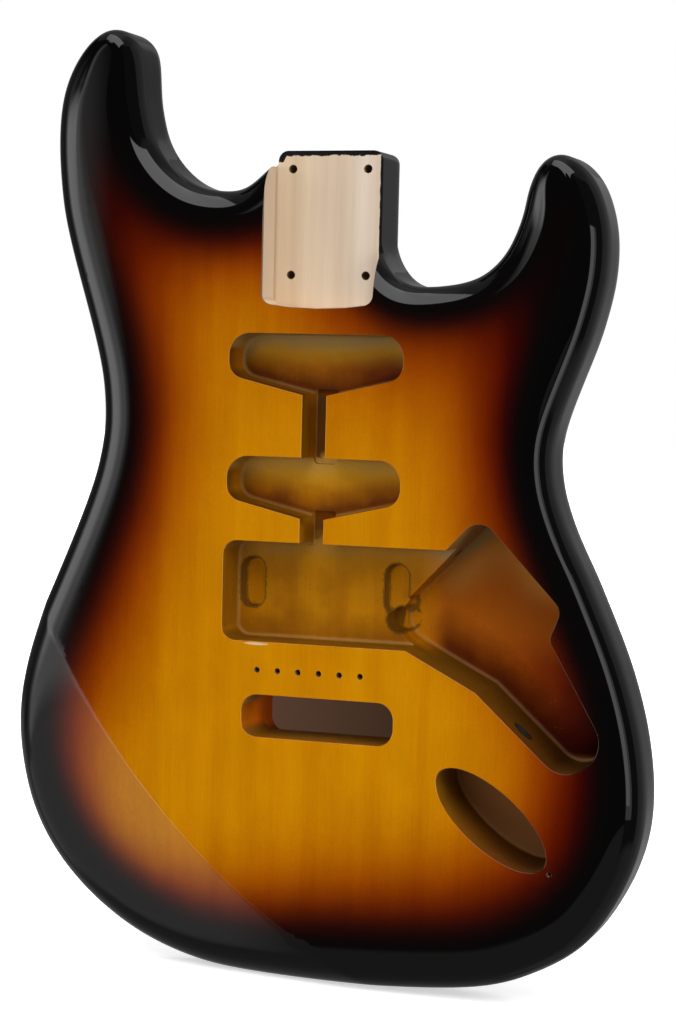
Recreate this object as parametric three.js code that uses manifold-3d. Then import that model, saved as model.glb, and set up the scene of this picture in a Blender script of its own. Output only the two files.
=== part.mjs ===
// Bare solid body of a double-cutaway electric guitar: edge-glued planks, shaped and routed, ready for
// a bolt-on neck, three pickups, a tremolo bridge, controls and an output jack.
// Frame, in millimetres: +Z up along the centre line towards the neck, +X towards the treble side, and
// +Y from the front face into the wood. The origin is the centre of the four neck bolts, on the floor of
// the neck pocket.
import * as THREE from 'three';
import { mergeVertices } from 'three/addons/utils/BufferGeometryUtils.js';
import Module from 'manifold-3d';

const wasm = await Module();
wasm.setup();

// Whole body
const bodyLength = 463;
const bodyWidth = 326;
const bodyThickness = 44;
const edgeRadius = 12.7;

// Glued planks: the glue line left of the centre line, the width of the plank right of it, and that of the
// outermost one, on the bass side
const glueLine = -23.6;
const plankWidth = 96.4;
const edgePlankWidth = 43;

// Neck pocket and the heel behind it
const pocketDepth = 16;
const pocketWidth = 56;
const pocketInnerEnd = -41.7;
const pocketBow = 2.2;
const pocketCorner = 5;
const heelEnd = 34.2;
const heelWidth = 53.2;
const heelCorner = 5;
const heelEdgeRadius = 3;
const heelFade = 40;
const boltSpacingX = 38.1;
const boltSpacingZ = 50.8;
const boltHole = 4.2;

// Single-coil pickup cavities, with a V towards the wire channel
const pickupLength = 87.8;
const pickupEndRadius = 10.6;
const pickupDepth = 19;
const pickupReach = 29;
const veeStartShare = 0.1;
const veeCornerShare = 0.8;
const neckPickupTop = -53.9;
const middlePickupTop = -113;

// Bridge pickup cavity and the two pockets for the pickup's legs
const bridgePickupTop = -153.9;
const bridgePickupHeight = 48.3;
const bridgePickupLeft = -45;
const bridgePickupDepth = 21;
const bridgePickupCorner = 7;
const legSpacing = 74;
const legPocketLength = 24.5;
const legPocketWidth = 12;
const legPocketDepth = 6;
const legCornerShare = 0.47;
const wirePocketAcross = 12;

// Wire channels and bored wire holes
const channelWidth = 12;
const channelDepth = 21;
const jackWireHole = 10;
const jackWireDepth = 12;
const groundWireHole = 6;

// Control cavity: the box that its outline is drawn in
const controlLeft = 30.2;
const controlTop = -136.9;
const controlWidth = 116.7;
const controlHeight = 122.4;
const controlDepth = 38;

// Output jack cavity, an ellipse, and its plate's screw
const jackX = 92.4;
const jackZ = -279.5;
const jackLength = 66;
const jackWidth = 27.6;
const jackTilt = -38.5;
const jackDepth = 36;
const jackScrewPitch = 74;
const jackScrewHole = 2.2;
const jackScrewDepth = 14;

// Tremolo: screw line, block slot, and the spring cavity in the back
const bridgeScrewLine = -216.1;
const bridgeScrewPitch = 10.5;
const bridgeScrewCount = 6;
const bridgeScrewHole = 2.8;
const bridgeScrewDepth = 25;
const slotLeft = -33.9;
const slotWidth = 77.1;
const slotTop = -228.1;
const slotHeight = 20.5;
const slotCorner = 8;
const springCavityTop = -115;
const springCavityWidth = 58;
const springCavityDepth = 16;
const springCavityCorner = 6;
const blockSwing = 3.4;
const clawScrewSpacing = 38;
const clawScrewHole = 3;
const clawScrewDepth = 35;

// Cavity floors meet the walls in this radius
const floorFillet = 3;

// Contours: the forearm bevel on the front and the hollow for the ribs on the back. Each is bounded by an
// arc, reaches in from a place on the outline by its width, and has its slope in degrees.
const forearmArcRadius = 375;
const forearmWidth = 71.2;
const forearmSlope = 13.6;
const forearmBearing = 42;
const ribArcRadius = 130;
const ribWidth = 45;
const ribSlope = 20;
const ribBearing = 180;

// How far a cut starts outside the wood, and how finely round stretches are stepped
const overrun = 5;
const lidStepShare = 0.1;
const stepsPerSpan = 4;
const reachShare = 0.62;
const arcRoomShare = 0.95;
const roundSteps = 3;
const cornerSteps = 4;
const holeSides = 12;

const frontY = -pocketDepth;
const backY = bodyThickness - pocketDepth;

// Outline of the body as seen from the front, as shares of its width and length, from the bass cutaway
// round the long horn, the waist, the lower end and the short horn back to the neck. The last points run
// under the neck pocket, inside the heel.
const outlineShares = [
  [-0.101, 0.048], [-0.130, 0.034], [-0.167, 0.032], [-0.206, 0.038], [-0.245, 0.056],
  [-0.276, 0.085], [-0.291, 0.121], [-0.307, 0.188], [-0.340, 0.202], [-0.374, 0.192],
  [-0.408, 0.163], [-0.428, 0.119], [-0.423, 0.019], [-0.350, -0.177], [-0.356, -0.255],
  [-0.480, -0.477], [-0.497, -0.527], [-0.499, -0.575], [-0.483, -0.635], [-0.448, -0.684],
  [-0.387, -0.730], [-0.301, -0.768], [-0.202, -0.790], [-0.092, -0.796], [0.261, -0.782],
  [0.347, -0.761], [0.417, -0.728], [0.466, -0.678], [0.494, -0.626], [0.501, -0.579],
  [0.492, -0.518], [0.466, -0.451], [0.416, -0.368], [0.373, -0.305], [0.354, -0.261],
  [0.353, -0.218], [0.408, -0.103], [0.424, -0.048], [0.422, 0], [0.402, 0.041],
  [0.374, 0.062], [0.348, 0.068], [0.324, 0.058], [0.307, 0.035], [0.296, 0.003],
  [0.271, -0.034], [0.230, -0.057], [0.141, -0.065], [0.112, -0.057], [0.094, -0.043],
  [0.083, -0.026], [0.078, -0.002], [0.070, 0.024], [0.047, 0.052], [0, 0.067],
  [-0.043, 0.069], [-0.077, 0.062],
];

// Outline of the control cavity, as shares of its box from the top left, each corner with its radius as a
// share of the width
const controlShares = [
  [0.454, 0, 0.077], [0.800, -0.343, 0.056], [0.751, -0.459, 0.043],
  [1, -0.868, 0.118], [0.829, -1, 0.118], [0.457, -0.679, 0.034], [0, -0.458, 0.111],
];

// Where the two wire holes end inside the control cavity, as shares of the same box
const jackWireShare = [0.65, -0.76];
const groundWireShare = [0.4, -0.156];

// Places on the outline that the two contours reach in from, as shares of the body's width and length
const forearmPlaceShare = [-0.420, -0.706];
const ribPlaceShare = [-0.352, -0.205];

function planPoint([xShare, zShare]) {
  return new THREE.Vector2(xShare * bodyWidth, zShare * bodyLength);
}

// A contour cuts what lies beyond its arc: side 1 outside the circle, side -1 inside it. The circle's
// centre lies at a bearing from the place on the outline.
function contourFrom(placeShare, width, radius, side, bearing, slope) {
  const towardsCentre = new THREE.Vector2(radius + side * width, 0).rotateAround(
    new THREE.Vector2(), THREE.MathUtils.degToRad(bearing));
  return {
    centre: planPoint(placeShare).add(towardsCentre), radius, side,
    slope: Math.tan(THREE.MathUtils.degToRad(slope)),
  };
}

const forearm = contourFrom(
  forearmPlaceShare, forearmWidth, forearmArcRadius, 1, forearmBearing, forearmSlope);
const ribs = contourFrom(ribPlaceShare, ribWidth, ribArcRadius, -1, ribBearing, ribSlope);

function beyond(contour, point) {
  return Math.max(0, contour.side * (point.distanceTo(contour.centre) - contour.radius));
}

function footOnArc(contour, point) {
  return point.clone().sub(contour.centre).setLength(contour.radius).add(contour.centre);
}

// Solids from closed geometry, and back to a mesh
function solidOf(geometry) {
  geometry.deleteAttribute('normal');
  geometry.deleteAttribute('uv');
  const merged = mergeVertices(geometry);
  return new wasm.Manifold(new wasm.Mesh({
    numProp: 3,
    vertProperties: new Float32Array(merged.attributes.position.array),
    triVerts: new Uint32Array(merged.index.array),
  }));
}

function meshOf(name, solid, material) {
  const result = solid.getMesh();
  const geometry = new THREE.BufferGeometry();
  geometry.setAttribute('position', new THREE.BufferAttribute(new Float32Array(result.vertProperties), 3));
  geometry.setIndex(new THREE.BufferAttribute(new Uint32Array(result.triVerts), 1));
  geometry.computeVertexNormals();
  const mesh = new THREE.Mesh(geometry, material);
  mesh.name = name;
  return mesh;
}

// A prism of a plan outline in X and Z, from depth nearY to depth farY. With a fillet, the far end is
// rounded into the walls; the near end is too, so it lies outside the wood.
function prism(outline, nearY, farY, fillet = 0) {
  const geometry = new THREE.ExtrudeGeometry(new THREE.Shape(outline), {
    depth: farY - nearY - 2 * fillet,
    steps: 1,
    bevelEnabled: fillet > 0,
    bevelThickness: fillet,
    bevelSize: fillet,
    bevelOffset: -fillet,
    bevelSegments: 2,
  });
  geometry.rotateX(Math.PI / 2);
  geometry.translate(0, farY - fillet, 0);
  return solidOf(geometry);
}

// A bored hole between two points
function bore(from, to, diameter) {
  const start = new THREE.Vector3(...from);
  const run = new THREE.Vector3(...to).sub(start);
  const geometry = new THREE.CylinderGeometry(diameter / 2, diameter / 2, run.length(), holeSides);
  geometry.translate(0, run.length() / 2, 0);
  geometry.applyQuaternion(new THREE.Quaternion().setFromUnitVectors(
    new THREE.Vector3(0, 1, 0), run.normalize()));
  geometry.translate(...start);
  return solidOf(geometry);
}

// A plan outline whose corners are rounded by arcs: each corner is [x, z, radius]. Where two arcs would run
// into each other on the side between them, both are drawn smaller.
function roundedOutline(corners) {
  const placed = corners.map(([x, z, radius], i) => {
    const corner = new THREE.Vector2(x, z);
    const before = new THREE.Vector2(...corners.at(i - 1)).sub(corner).normalize();
    const next = new THREE.Vector2(...corners[(i + 1) % corners.length]).sub(corner);
    const side = next.length();
    const after = next.normalize();
    const half = Math.acos(THREE.MathUtils.clamp(before.dot(after), -1, 1)) / 2;
    return { corner, before, after, side, half, tangent: radius / Math.tan(half) };
  });
  const room = placed.map(({ side, tangent }, i) => {
    const both = tangent + placed[(i + 1) % placed.length].tangent;
    return Math.min(1, arcRoomShare * side / Math.max(both, Number.EPSILON));
  });
  return placed.flatMap(({ corner, before, after, half, tangent }, i) => {
    if (tangent === 0) return [corner];
    const reach = tangent * Math.min(room.at(i - 1), room[i]);
    const start = corner.clone().addScaledVector(before, reach);
    const end = corner.clone().addScaledVector(after, reach);
    const towards = before.clone().add(after).normalize();
    const centre = corner.clone().addScaledVector(towards, reach / Math.cos(half));
    const turn = Math.PI - 2 * half;
    const sense = Math.sign(start.clone().sub(centre).cross(end.clone().sub(centre)));
    return Array.from({ length: cornerSteps + 1 }, (_, k) => start.clone().rotateAround(
      centre, sense * turn * k / cornerSteps));
  });
}

function rectangle(left, right, bottom, top, radius = 0) {
  return roundedOutline([
    [left, bottom, radius], [right, bottom, radius], [right, top, radius], [left, top, radius]]);
}

// A closed solid through rings of equal point count, from the front lid to the back lid
function loft(rings) {
  const count = rings[0].length;
  const positions = rings.flat().flatMap((point) => point.toArray());
  const index = [];
  for (let j = 0; j + 1 < rings.length; j += 1) {
    for (let i = 0; i < count; i += 1) {
      const a = j * count + i;
      const b = j * count + (i + 1) % count;
      index.push(a, a + count, b, b, a + count, b + count);
    }
  }
  const lid = (ring, offset, flip) => {
    const flat = ring.map((point) => new THREE.Vector2(point.x, point.z));
    for (const [a, b, c] of THREE.ShapeUtils.triangulateShape(flat, [])) {
      index.push(offset + a, offset + (flip ? c : b), offset + (flip ? b : c));
    }
  };
  lid(rings[0], 0, false);
  lid(rings.at(-1), (rings.length - 1) * count, true);
  const geometry = new THREE.BufferGeometry();
  geometry.setAttribute('position', new THREE.BufferAttribute(new Float32Array(positions), 3));
  geometry.setIndex(index);
  return solidOf(geometry);
}

// The outline as points going anticlockwise seen from the front, with the inward normal and the most that
// a rounded edge can reach inwards there without the surface folding over itself
function outlineStations() {
  const curve = new THREE.CatmullRomCurve3(
    outlineShares.map((share) => new THREE.Vector3(...planPoint(share), 0)), true, 'centripetal');
  const points = curve.getPoints(outlineShares.length * stepsPerSpan).slice(0, -1)
    .map((point) => new THREE.Vector2(point.x, point.y));
  const at = (list, i) => list[(i + list.length) % list.length];
  const widest = Math.max(edgeRadius, heelEdgeRadius);
  let reach = points.map((point, i) => {
    const before = at(points, i - 2);
    const after = at(points, i + 2);
    const twiceArea = point.clone().sub(before).cross(after.clone().sub(before));
    if (twiceArea <= 0) return widest;
    const radius = point.distanceTo(before) * after.distanceTo(point) * after.distanceTo(before)
      / (2 * twiceArea);
    return Math.min(widest, radius * reachShare);
  });
  for (let pass = 0; pass < 3 * stepsPerSpan; pass += 1) {
    reach = reach.map((own, i) => {
      const mean = (at(reach, i - 1) + 2 * own + at(reach, i + 1)) / 4;
      return pass < 2 ? Math.min(own, at(reach, i - 1), at(reach, i + 1)) : mean;
    });
  }
  return points.map((point, i) => {
    const along = at(points, i + 1).clone().sub(at(points, i - 1)).normalize();
    return { point, inward: new THREE.Vector2(-along.y, along.x), reach: reach[i] };
  });
}

// Radius of the back edge: the body's own, fading to the heel's small one near the neck
function backRadiusAt(point) {
  const gapX = Math.max(0, Math.abs(point.x) - heelWidth / 2);
  const gapZ = Math.max(0, -pocketWidth / 2 - point.y);
  const share = THREE.MathUtils.smoothstep(Math.hypot(gapX, gapZ), 0, heelFade);
  return THREE.MathUtils.lerp(heelEdgeRadius, edgeRadius, share);
}

// The body before routing: rings run from the front lid over the rounded edge to the back lid. Each
// contour tilts the surface beyond its arc.
function bodyBlank() {
  const stations = outlineStations();
  const ring = (contour, faceY, sign, turn, radiusAt) => stations.map(({ point, inward, reach }) => {
    const radius = radiusAt(point);
    const inset = Math.min(radius, reach) * (1 - Math.sin(turn));
    const plan = point.clone().addScaledVector(inward, inset);
    const drop = beyond(contour, plan) * contour.slope + radius * (1 - Math.cos(turn));
    return new THREE.Vector3(plan.x, faceY + sign * drop, plan.y);
  });
  const creaseRing = (contour, faceY, radiusAt) => stations.map(({ point, inward, reach }) => {
    const inset = Math.min(radiusAt(point), reach);
    const edge = point.clone().addScaledVector(inward, inset);
    const base = beyond(contour, edge) > 0 ? footOnArc(contour, edge) : edge;
    base.addScaledVector(inward, lidStepShare * inset);
    return new THREE.Vector3(base.x, faceY, base.y);
  });
  const turns = Array.from({ length: roundSteps + 1 }, (_, k) => Math.PI / 2 * k / roundSteps);
  const frontRadiusAt = () => edgeRadius;
  return loft([
    creaseRing(forearm, frontY, frontRadiusAt),
    ...turns.map((turn) => ring(forearm, frontY, 1, turn, frontRadiusAt)),
    ...turns.reverse().map((turn) => ring(ribs, backY, -1, turn, backRadiusAt)),
    creaseRing(ribs, backY, backRadiusAt),
  ]);
}

// The heel under the neck, level with the pocket floor, with its back edge eased
function heel() {
  const half = heelWidth / 2;
  const layer = (inset, y) => rectangle(
    inset - half, half - inset, pocketInnerEnd, heelEnd - inset, heelCorner,
  ).map((point) => new THREE.Vector3(point.x, y, point.y));
  const rings = [layer(0, 0)];
  for (let k = 0; k <= roundSteps; k += 1) {
    const turn = Math.PI / 2 * k / roundSteps;
    rings.push(layer(heelEdgeRadius * (1 - Math.cos(turn)), backY - heelEdgeRadius * (1 - Math.sin(turn))));
  }
  return loft(rings);
}

// Cuts made from the front
function neckPocket() {
  const half = pocketWidth / 2;
  const side = pocketInnerEnd + pocketBow;
  const outline = roundedOutline([
    [half, heelEnd + overrun, 0], [-half, heelEnd + overrun, 0], [-half, side, pocketCorner],
    [-half / 2, pocketInnerEnd + pocketBow / 4, half / 4], [0, pocketInnerEnd, half / 4],
    [half / 2, pocketInnerEnd + pocketBow / 4, half / 4], [half, side, pocketCorner],
  ]);
  return prism(outline, frontY - overrun, 0);
}

function neckBoltHoles() {
  return [-1, 1].flatMap((sideX) => [-1, 1].map((sideZ) => {
    const x = sideX * boltSpacingX / 2;
    const z = sideZ * boltSpacingZ / 2;
    return bore([x, -overrun, z], [x, backY + overrun, z], boltHole);
  }));
}

function pickupCavity(top) {
  const half = pickupLength / 2;
  const side = top - (2 - veeStartShare) * pickupEndRadius;
  const sideCorner = veeCornerShare * pickupEndRadius;
  const tip = top - pickupReach;
  const channel = channelWidth / 2;
  const outline = roundedOutline([
    [half, top, pickupEndRadius], [-half, top, pickupEndRadius], [-half, side, sideCorner],
    [-channel, tip, 0], [channel, tip, 0], [half, side, sideCorner],
  ]);
  return prism(outline, frontY - overrun - floorFillet, frontY + pickupDepth, floorFillet);
}

function wireChannels() {
  const half = channelWidth / 2;
  const run = (top, bottom) => prism(
    rectangle(-half, half, bottom, top), frontY - overrun, frontY + channelDepth);
  const inside = pickupEndRadius;
  return [
    run(neckPickupTop - pickupReach + inside, middlePickupTop - inside),
    run(middlePickupTop - pickupReach + inside, bridgePickupTop - inside),
  ];
}

function bridgePickupCavity() {
  const bottom = bridgePickupTop - bridgePickupHeight;
  const right = controlLeft + controlWidth / 4;
  const outline = roundedOutline([
    [bridgePickupLeft, bottom, bridgePickupCorner], [right, bottom, 0],
    [right + bridgePickupCorner, bridgePickupTop, 0],
    [bridgePickupLeft, bridgePickupTop, bridgePickupCorner],
  ]);
  const floorY = frontY + bridgePickupDepth;
  const middle = bridgePickupTop - bridgePickupHeight / 2 + overrun / 2;
  const legPockets = [-1, 1].map((side) => {
    const x = side * legSpacing / 2;
    return prism(rectangle(
      x - legPocketWidth / 2, x + legPocketWidth / 2,
      middle - legPocketLength / 2, middle + legPocketLength / 2, legCornerShare * legPocketWidth,
    ), floorY - overrun, floorY + legPocketDepth);
  });
  return [prism(outline, frontY - overrun - floorFillet, floorY, floorFillet), ...legPockets];
}

function inControlBox([xShare, zShare]) {
  return [controlLeft + xShare * controlWidth, controlTop + zShare * controlHeight];
}

function controlCavity() {
  const outline = roundedOutline(controlShares.map(([xShare, zShare, radiusShare]) => [
    ...inControlBox([xShare, zShare]), radiusShare * controlWidth]));
  const floorY = frontY + controlDepth;
  const wireX = legSpacing / 2 + floorFillet / 2;
  const wireZ = bridgePickupTop - bridgePickupHeight + wirePocketAcross;
  return [
    prism(outline, frontY - overrun - floorFillet, floorY, floorFillet),
    bore([wireX, frontY, wireZ], [wireX, floorY - floorFillet, wireZ], wirePocketAcross),
  ];
}

function jackCavity() {
  const tilt = THREE.MathUtils.degToRad(jackTilt);
  const centre = new THREE.Vector2(jackX, jackZ);
  const outline = new THREE.EllipseCurve(
    jackX, jackZ, jackLength / 2, jackWidth / 2, 0, 2 * Math.PI, false, tilt,
  ).getPoints(2 * holeSides).slice(0, -1);
  const screw = centre.clone().add(new THREE.Vector2(jackScrewPitch / 2, 0).rotateAround(
    new THREE.Vector2(), tilt));
  return [
    prism(outline, frontY - overrun - floorFillet, frontY + jackDepth, floorFillet),
    bore([screw.x, frontY - overrun, screw.y], [screw.x, frontY + jackScrewDepth, screw.y], jackScrewHole),
  ];
}

function bridgeScrewHoles() {
  return Array.from({ length: bridgeScrewCount }, (_, k) => {
    const x = (k - (bridgeScrewCount - 1) / 2) * bridgeScrewPitch;
    return bore([x, frontY - overrun, bridgeScrewLine], [x, frontY + bridgeScrewDepth, bridgeScrewLine],
      bridgeScrewHole);
  });
}

// Cuts made from the back, and the slot that goes right through
function tremoloCuts() {
  const slotRight = slotLeft + slotWidth;
  const slotBottom = slotTop - slotHeight;
  const springFloor = backY - springCavityDepth;
  const half = springCavityWidth / 2;
  const claws = [-1, 1].map((side) => {
    const x = side * clawScrewSpacing / 2;
    const y = backY - springCavityDepth / 2;
    return bore([x, y, springCavityTop - overrun], [x, y, springCavityTop + clawScrewDepth],
      clawScrewHole);
  });
  return [
    prism(rectangle(slotLeft, slotRight, slotBottom, slotTop, slotCorner),
      frontY - overrun, backY + overrun),
    prism(rectangle(slotLeft, slotRight, slotBottom - blockSwing, slotTop, slotCorner),
      springFloor, backY + overrun),
    prism(rectangle(-half, half, slotTop - slotHeight / 2, springCavityTop, springCavityCorner),
      springFloor, backY + overrun),
    ...claws,
  ];
}

// Wire holes: control cavity to jack cavity, and spring cavity to control cavity
function wireHoles() {
  const [jackEndX, jackEndZ] = inControlBox(jackWireShare);
  const [groundEndX, groundEndZ] = inControlBox(groundWireShare);
  const groundY = (backY - springCavityDepth + frontY + controlDepth) / 2;
  return [
    bore([jackX, frontY + jackDepth / 2, jackZ], [jackEndX, frontY + jackWireDepth, jackEndZ],
      jackWireHole),
    bore([springCavityWidth / 2 - overrun, groundY, groundEndZ], [groundEndX, groundY, groundEndZ],
      groundWireHole),
  ];
}

function routedBody() {
  const cuts = [
    neckPocket(), ...neckBoltHoles(),
    pickupCavity(neckPickupTop), pickupCavity(middlePickupTop), ...wireChannels(),
    ...bridgePickupCavity(), ...controlCavity(), ...jackCavity(),
    ...bridgeScrewHoles(), ...tremoloCuts(), ...wireHoles(),
  ];
  return cuts.reduce((wood, cut) => wood.subtract(cut), bodyBlank().add(heel()));
}

// The planks meet face to face at the glue lines. The waist cuts the outer bass plank in two.
function plankBox(left, right, bottom, top) {
  return prism(rectangle(left, right, bottom, top), frontY - overrun, backY + overrun);
}

const lacquer = (color) => new THREE.MeshStandardMaterial({ color, roughness: 0.15, metalness: 0 });

const body = new THREE.Group();
const wood = routedBody();
const farLeft = -bodyWidth;
const farRight = bodyWidth;
const top = bodyLength;
const bottom = -bodyLength;
const waist = -bodyLength / 5;
const outerGlueLine = edgePlankWidth - bodyWidth / 2;
const trebleGlueLine = glueLine + plankWidth;
const planks = [
  ['bass_horn_plank', farLeft, outerGlueLine, waist, top, 0x1a0a06],
  ['bass_bout_plank', farLeft, outerGlueLine, bottom, waist, 0x2a0f07],
  ['bass_plank', outerGlueLine, glueLine, bottom, top, 0xb5650a],
  ['centre_plank', glueLine, trebleGlueLine, bottom, top, 0xc8860a],
  ['treble_plank', trebleGlueLine, farRight, bottom, top, 0x5a1c08],
];
for (const [name, left, right, low, high, color] of planks) {
  body.add(meshOf(name, wood.intersect(plankBox(left, right, low, high)), lacquer(color)));
}

export default body;
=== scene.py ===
"""Looks of a bare electric guitar body: planks glued edge to edge, shaped, routed and sprayed with a gloss
three-colour sunburst, with bare wood in the neck pocket.

Metres. +Z runs towards the neck, +X towards the treble side, and the front face looks towards -Y.
"""
import math

import bmesh
import bpy
import numpy as np
from mathutils import Matrix, Vector
from mathutils.geometry import delaunay_2d_cdt


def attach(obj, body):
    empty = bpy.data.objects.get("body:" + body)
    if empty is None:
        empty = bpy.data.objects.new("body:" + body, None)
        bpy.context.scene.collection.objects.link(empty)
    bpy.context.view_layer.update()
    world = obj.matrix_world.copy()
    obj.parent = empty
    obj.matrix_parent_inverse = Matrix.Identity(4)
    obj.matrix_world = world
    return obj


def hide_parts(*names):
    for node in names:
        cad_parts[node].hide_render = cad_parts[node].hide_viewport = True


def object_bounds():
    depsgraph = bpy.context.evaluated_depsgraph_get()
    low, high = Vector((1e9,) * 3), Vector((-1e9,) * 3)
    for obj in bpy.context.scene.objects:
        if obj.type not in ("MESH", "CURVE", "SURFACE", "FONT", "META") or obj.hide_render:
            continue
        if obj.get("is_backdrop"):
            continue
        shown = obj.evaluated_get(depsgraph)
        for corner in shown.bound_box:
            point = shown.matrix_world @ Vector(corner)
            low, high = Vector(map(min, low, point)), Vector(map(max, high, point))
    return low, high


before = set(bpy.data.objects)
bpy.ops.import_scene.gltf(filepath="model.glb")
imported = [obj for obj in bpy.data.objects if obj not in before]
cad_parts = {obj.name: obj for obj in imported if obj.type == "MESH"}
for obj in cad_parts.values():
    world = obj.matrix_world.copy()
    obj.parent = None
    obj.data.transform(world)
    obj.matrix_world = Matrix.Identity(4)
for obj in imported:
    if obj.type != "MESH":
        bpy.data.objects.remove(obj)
cad_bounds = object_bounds()

# Body
BODY_LENGTH = 0.463
BODY_WIDTH = 0.326
BODY_THICKNESS = 0.044
EDGE_RADIUS = 0.0127
REACH_SHARE = 0.62
EDGE_EASE_SHARE = 0.155
EDGE_TAIL_SHARE = 0.85
ROOM_SHARE = 0.75
LEAST_EASE_SHARE = 0.04
INSETS_TRIED = np.linspace(0.002, 0.034, 17)
OWN_SHARE = 0.98
OUTLINE_SMOOTHING = 3.0

# Glue lines between the planks, and the height at which the waist parts the outer bass plank
OUTER_GLUE_X = -0.120
BASS_GLUE_X = -0.0236
TREBLE_GLUE_X = 0.0728
WAIST_Z = -0.0926

# Neck pocket and heel
POCKET_DEPTH = 0.016
POCKET_WIDTH = 0.056
POCKET_INNER_END = -0.0417
POCKET_BOW = 0.0022
POCKET_CORNER = 0.005
POCKET_LIP = 0.0003
HEEL_END = 0.0342
HEEL_WIDTH = 0.0532
HEEL_CORNER = 0.005
HEEL_EDGE_RADIUS = 0.003
HEEL_FADE = 0.040
HEEL_START = -0.0005
HEEL_FIRST_ROW = 0.004
BOLT_SPACING_X = 0.0381
BOLT_SPACING_Z = 0.0508
BOLT_HOLE = 0.0042

FRONT_Y = -POCKET_DEPTH
BACK_Y = BODY_THICKNESS - POCKET_DEPTH

# Pickup cavities, wire channels and pockets
PICKUP_LENGTH = 0.0878
PICKUP_END_RADIUS = 0.0106
PICKUP_DEPTH = 0.019
PICKUP_REACH = 0.029
PICKUP_SIDE_SHARE = 1.9
PICKUP_CORNER_SHARE = 0.8
NECK_PICKUP_TOP = -0.0539
MIDDLE_PICKUP_TOP = -0.113
BRIDGE_PICKUP_TOP = -0.1539
BRIDGE_PICKUP_HEIGHT = 0.0483
BRIDGE_PICKUP_LEFT = -0.045
BRIDGE_PICKUP_DEPTH = 0.021
BRIDGE_PICKUP_CORNER = 0.007
LEG_SPACING = 0.074
LEG_POCKET_LENGTH = 0.0245
LEG_POCKET_WIDTH = 0.012
LEG_POCKET_DEPTH = 0.006
LEG_ROUND_SHARE = 0.47
LEG_FILLET = 0.001
WIRE_POCKET_ACROSS = 0.012
CHANNEL_WIDTH = 0.012
CHANNEL_DEPTH = 0.021
CHANNEL_CORNER = 0.002
CHANNEL_OVERLAP = 0.0034
CHANNEL_FILLET = 0.0012
JACK_WIRE_HOLE = 0.010
JACK_WIRE_DEPTH = 0.012
GROUND_WIRE_HOLE = 0.006

# Control cavity: the box that its outline is drawn in
CONTROL_LEFT = 0.0302
CONTROL_TOP = -0.1369
CONTROL_WIDTH = 0.1167
CONTROL_HEIGHT = 0.1224
CONTROL_DEPTH = 0.038

# Output jack cavity
JACK_X = 0.0924
JACK_Z = -0.2795
JACK_LENGTH = 0.066
JACK_WIDTH = 0.0276
JACK_TILT = math.radians(-38.5)
JACK_DEPTH = 0.036
JACK_SCREW_PITCH = 0.074
JACK_SCREW_HOLE = 0.0022
JACK_SCREW_DEPTH = 0.014

# Tremolo
BRIDGE_SCREW_LINE = -0.2161
BRIDGE_SCREW_PITCH = 0.0105
BRIDGE_SCREW_COUNT = 6
BRIDGE_SCREW_HOLE = 0.0028
BRIDGE_SCREW_DEPTH = 0.025
SLOT_LEFT = -0.0339
SLOT_WIDTH = 0.0771
SLOT_TOP = -0.2281
SLOT_HEIGHT = 0.0205
SLOT_CORNER = 0.008
SPRING_CAVITY_TOP = -0.115
SPRING_CAVITY_WIDTH = 0.058
SPRING_CAVITY_DEPTH = 0.016
SPRING_CAVITY_CORNER = 0.006
BLOCK_SWING = 0.0034
CLAW_SCREW_SPACING = 0.038
CLAW_SCREW_HOLE = 0.003
CLAW_SCREW_DEPTH = 0.035

# Routed edges: the radius where a floor meets its walls, and the lacquered lip at each mouth
FLOOR_FILLET = 0.003
MOUTH_RADIUS = 0.00045
POCKET_SHELF = FRONT_Y + BRIDGE_PICKUP_DEPTH
# Deeper than this, what is on the bass side of the controls was cut from the back
SPRING_SIDE = BACK_Y - SPRING_CAVITY_DEPTH - 0.0004
HOLE_LIP = 0.0003
OVERRUN = 0.005

# Contours, each bounded by an arc: radius, width from a place on the outline, slope, bearing of the
# centre, and how softly the crease is rounded
FOREARM = {"radius": 0.375, "width": 0.0712, "slope": 13.6, "bearing": 42.0, "side": 1,
           "place_share": (-0.420, -0.706), "crease": 0.0005}
RIBS = {"radius": 0.130, "width": 0.045, "slope": 20.0, "bearing": 180.0, "side": -1,
        "place_share": (-0.352, -0.205), "crease": 0.006}

# Mesh steps
STATIONS = 960
SPRAY_STATIONS = 480
SPAN_STEPS = 24
ROUND_STEPS = 14
TAIL_SHARES = np.array([1, 0.72, 0.5, 0.33, 0.2, 0.1])
PROFILE_SAMPLES = 4001
WALL_STEPS = 4
CAVITY_ROWS = 4
FACE_STEP = 0.0034
FLOOR_STEP = 0.0045
LATTICE_CLEAR_SHARE = 0.7
EXTRA_CLEAR_SHARE = 0.35
CREASE_STEP = 0.8 * FACE_STEP
CREASE_ROW_SHARES = np.array([-2.2, -1.0, -0.45, 0, 0.45, 1.0, 2.2])
LEAST_CREASE = 0.0012
OUTLINE_STEP = 0.0022
CORNER_STEPS = 10
FILLET_STEPS = 5
LIP_STEPS = 3
HEEL_ROWS = 5
HEEL_STEPS = 6
HOLE_STEPS = 28
WIRE_POCKET_STEPS = 40
ELLIPSE_STEPS = 120
RIM_STEPS = 120
SHARP_ANGLE = math.radians(40)

# What counts as a level normal, as on a plane, as one point and as no length, and how many points are
# compared at a time
NEARLY_LEVEL = 0.8
ON_PLANE = 2e-6
SAME_POINT = 1e-6
TINY = 1e-12
PART_SIZE = 2000

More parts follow.
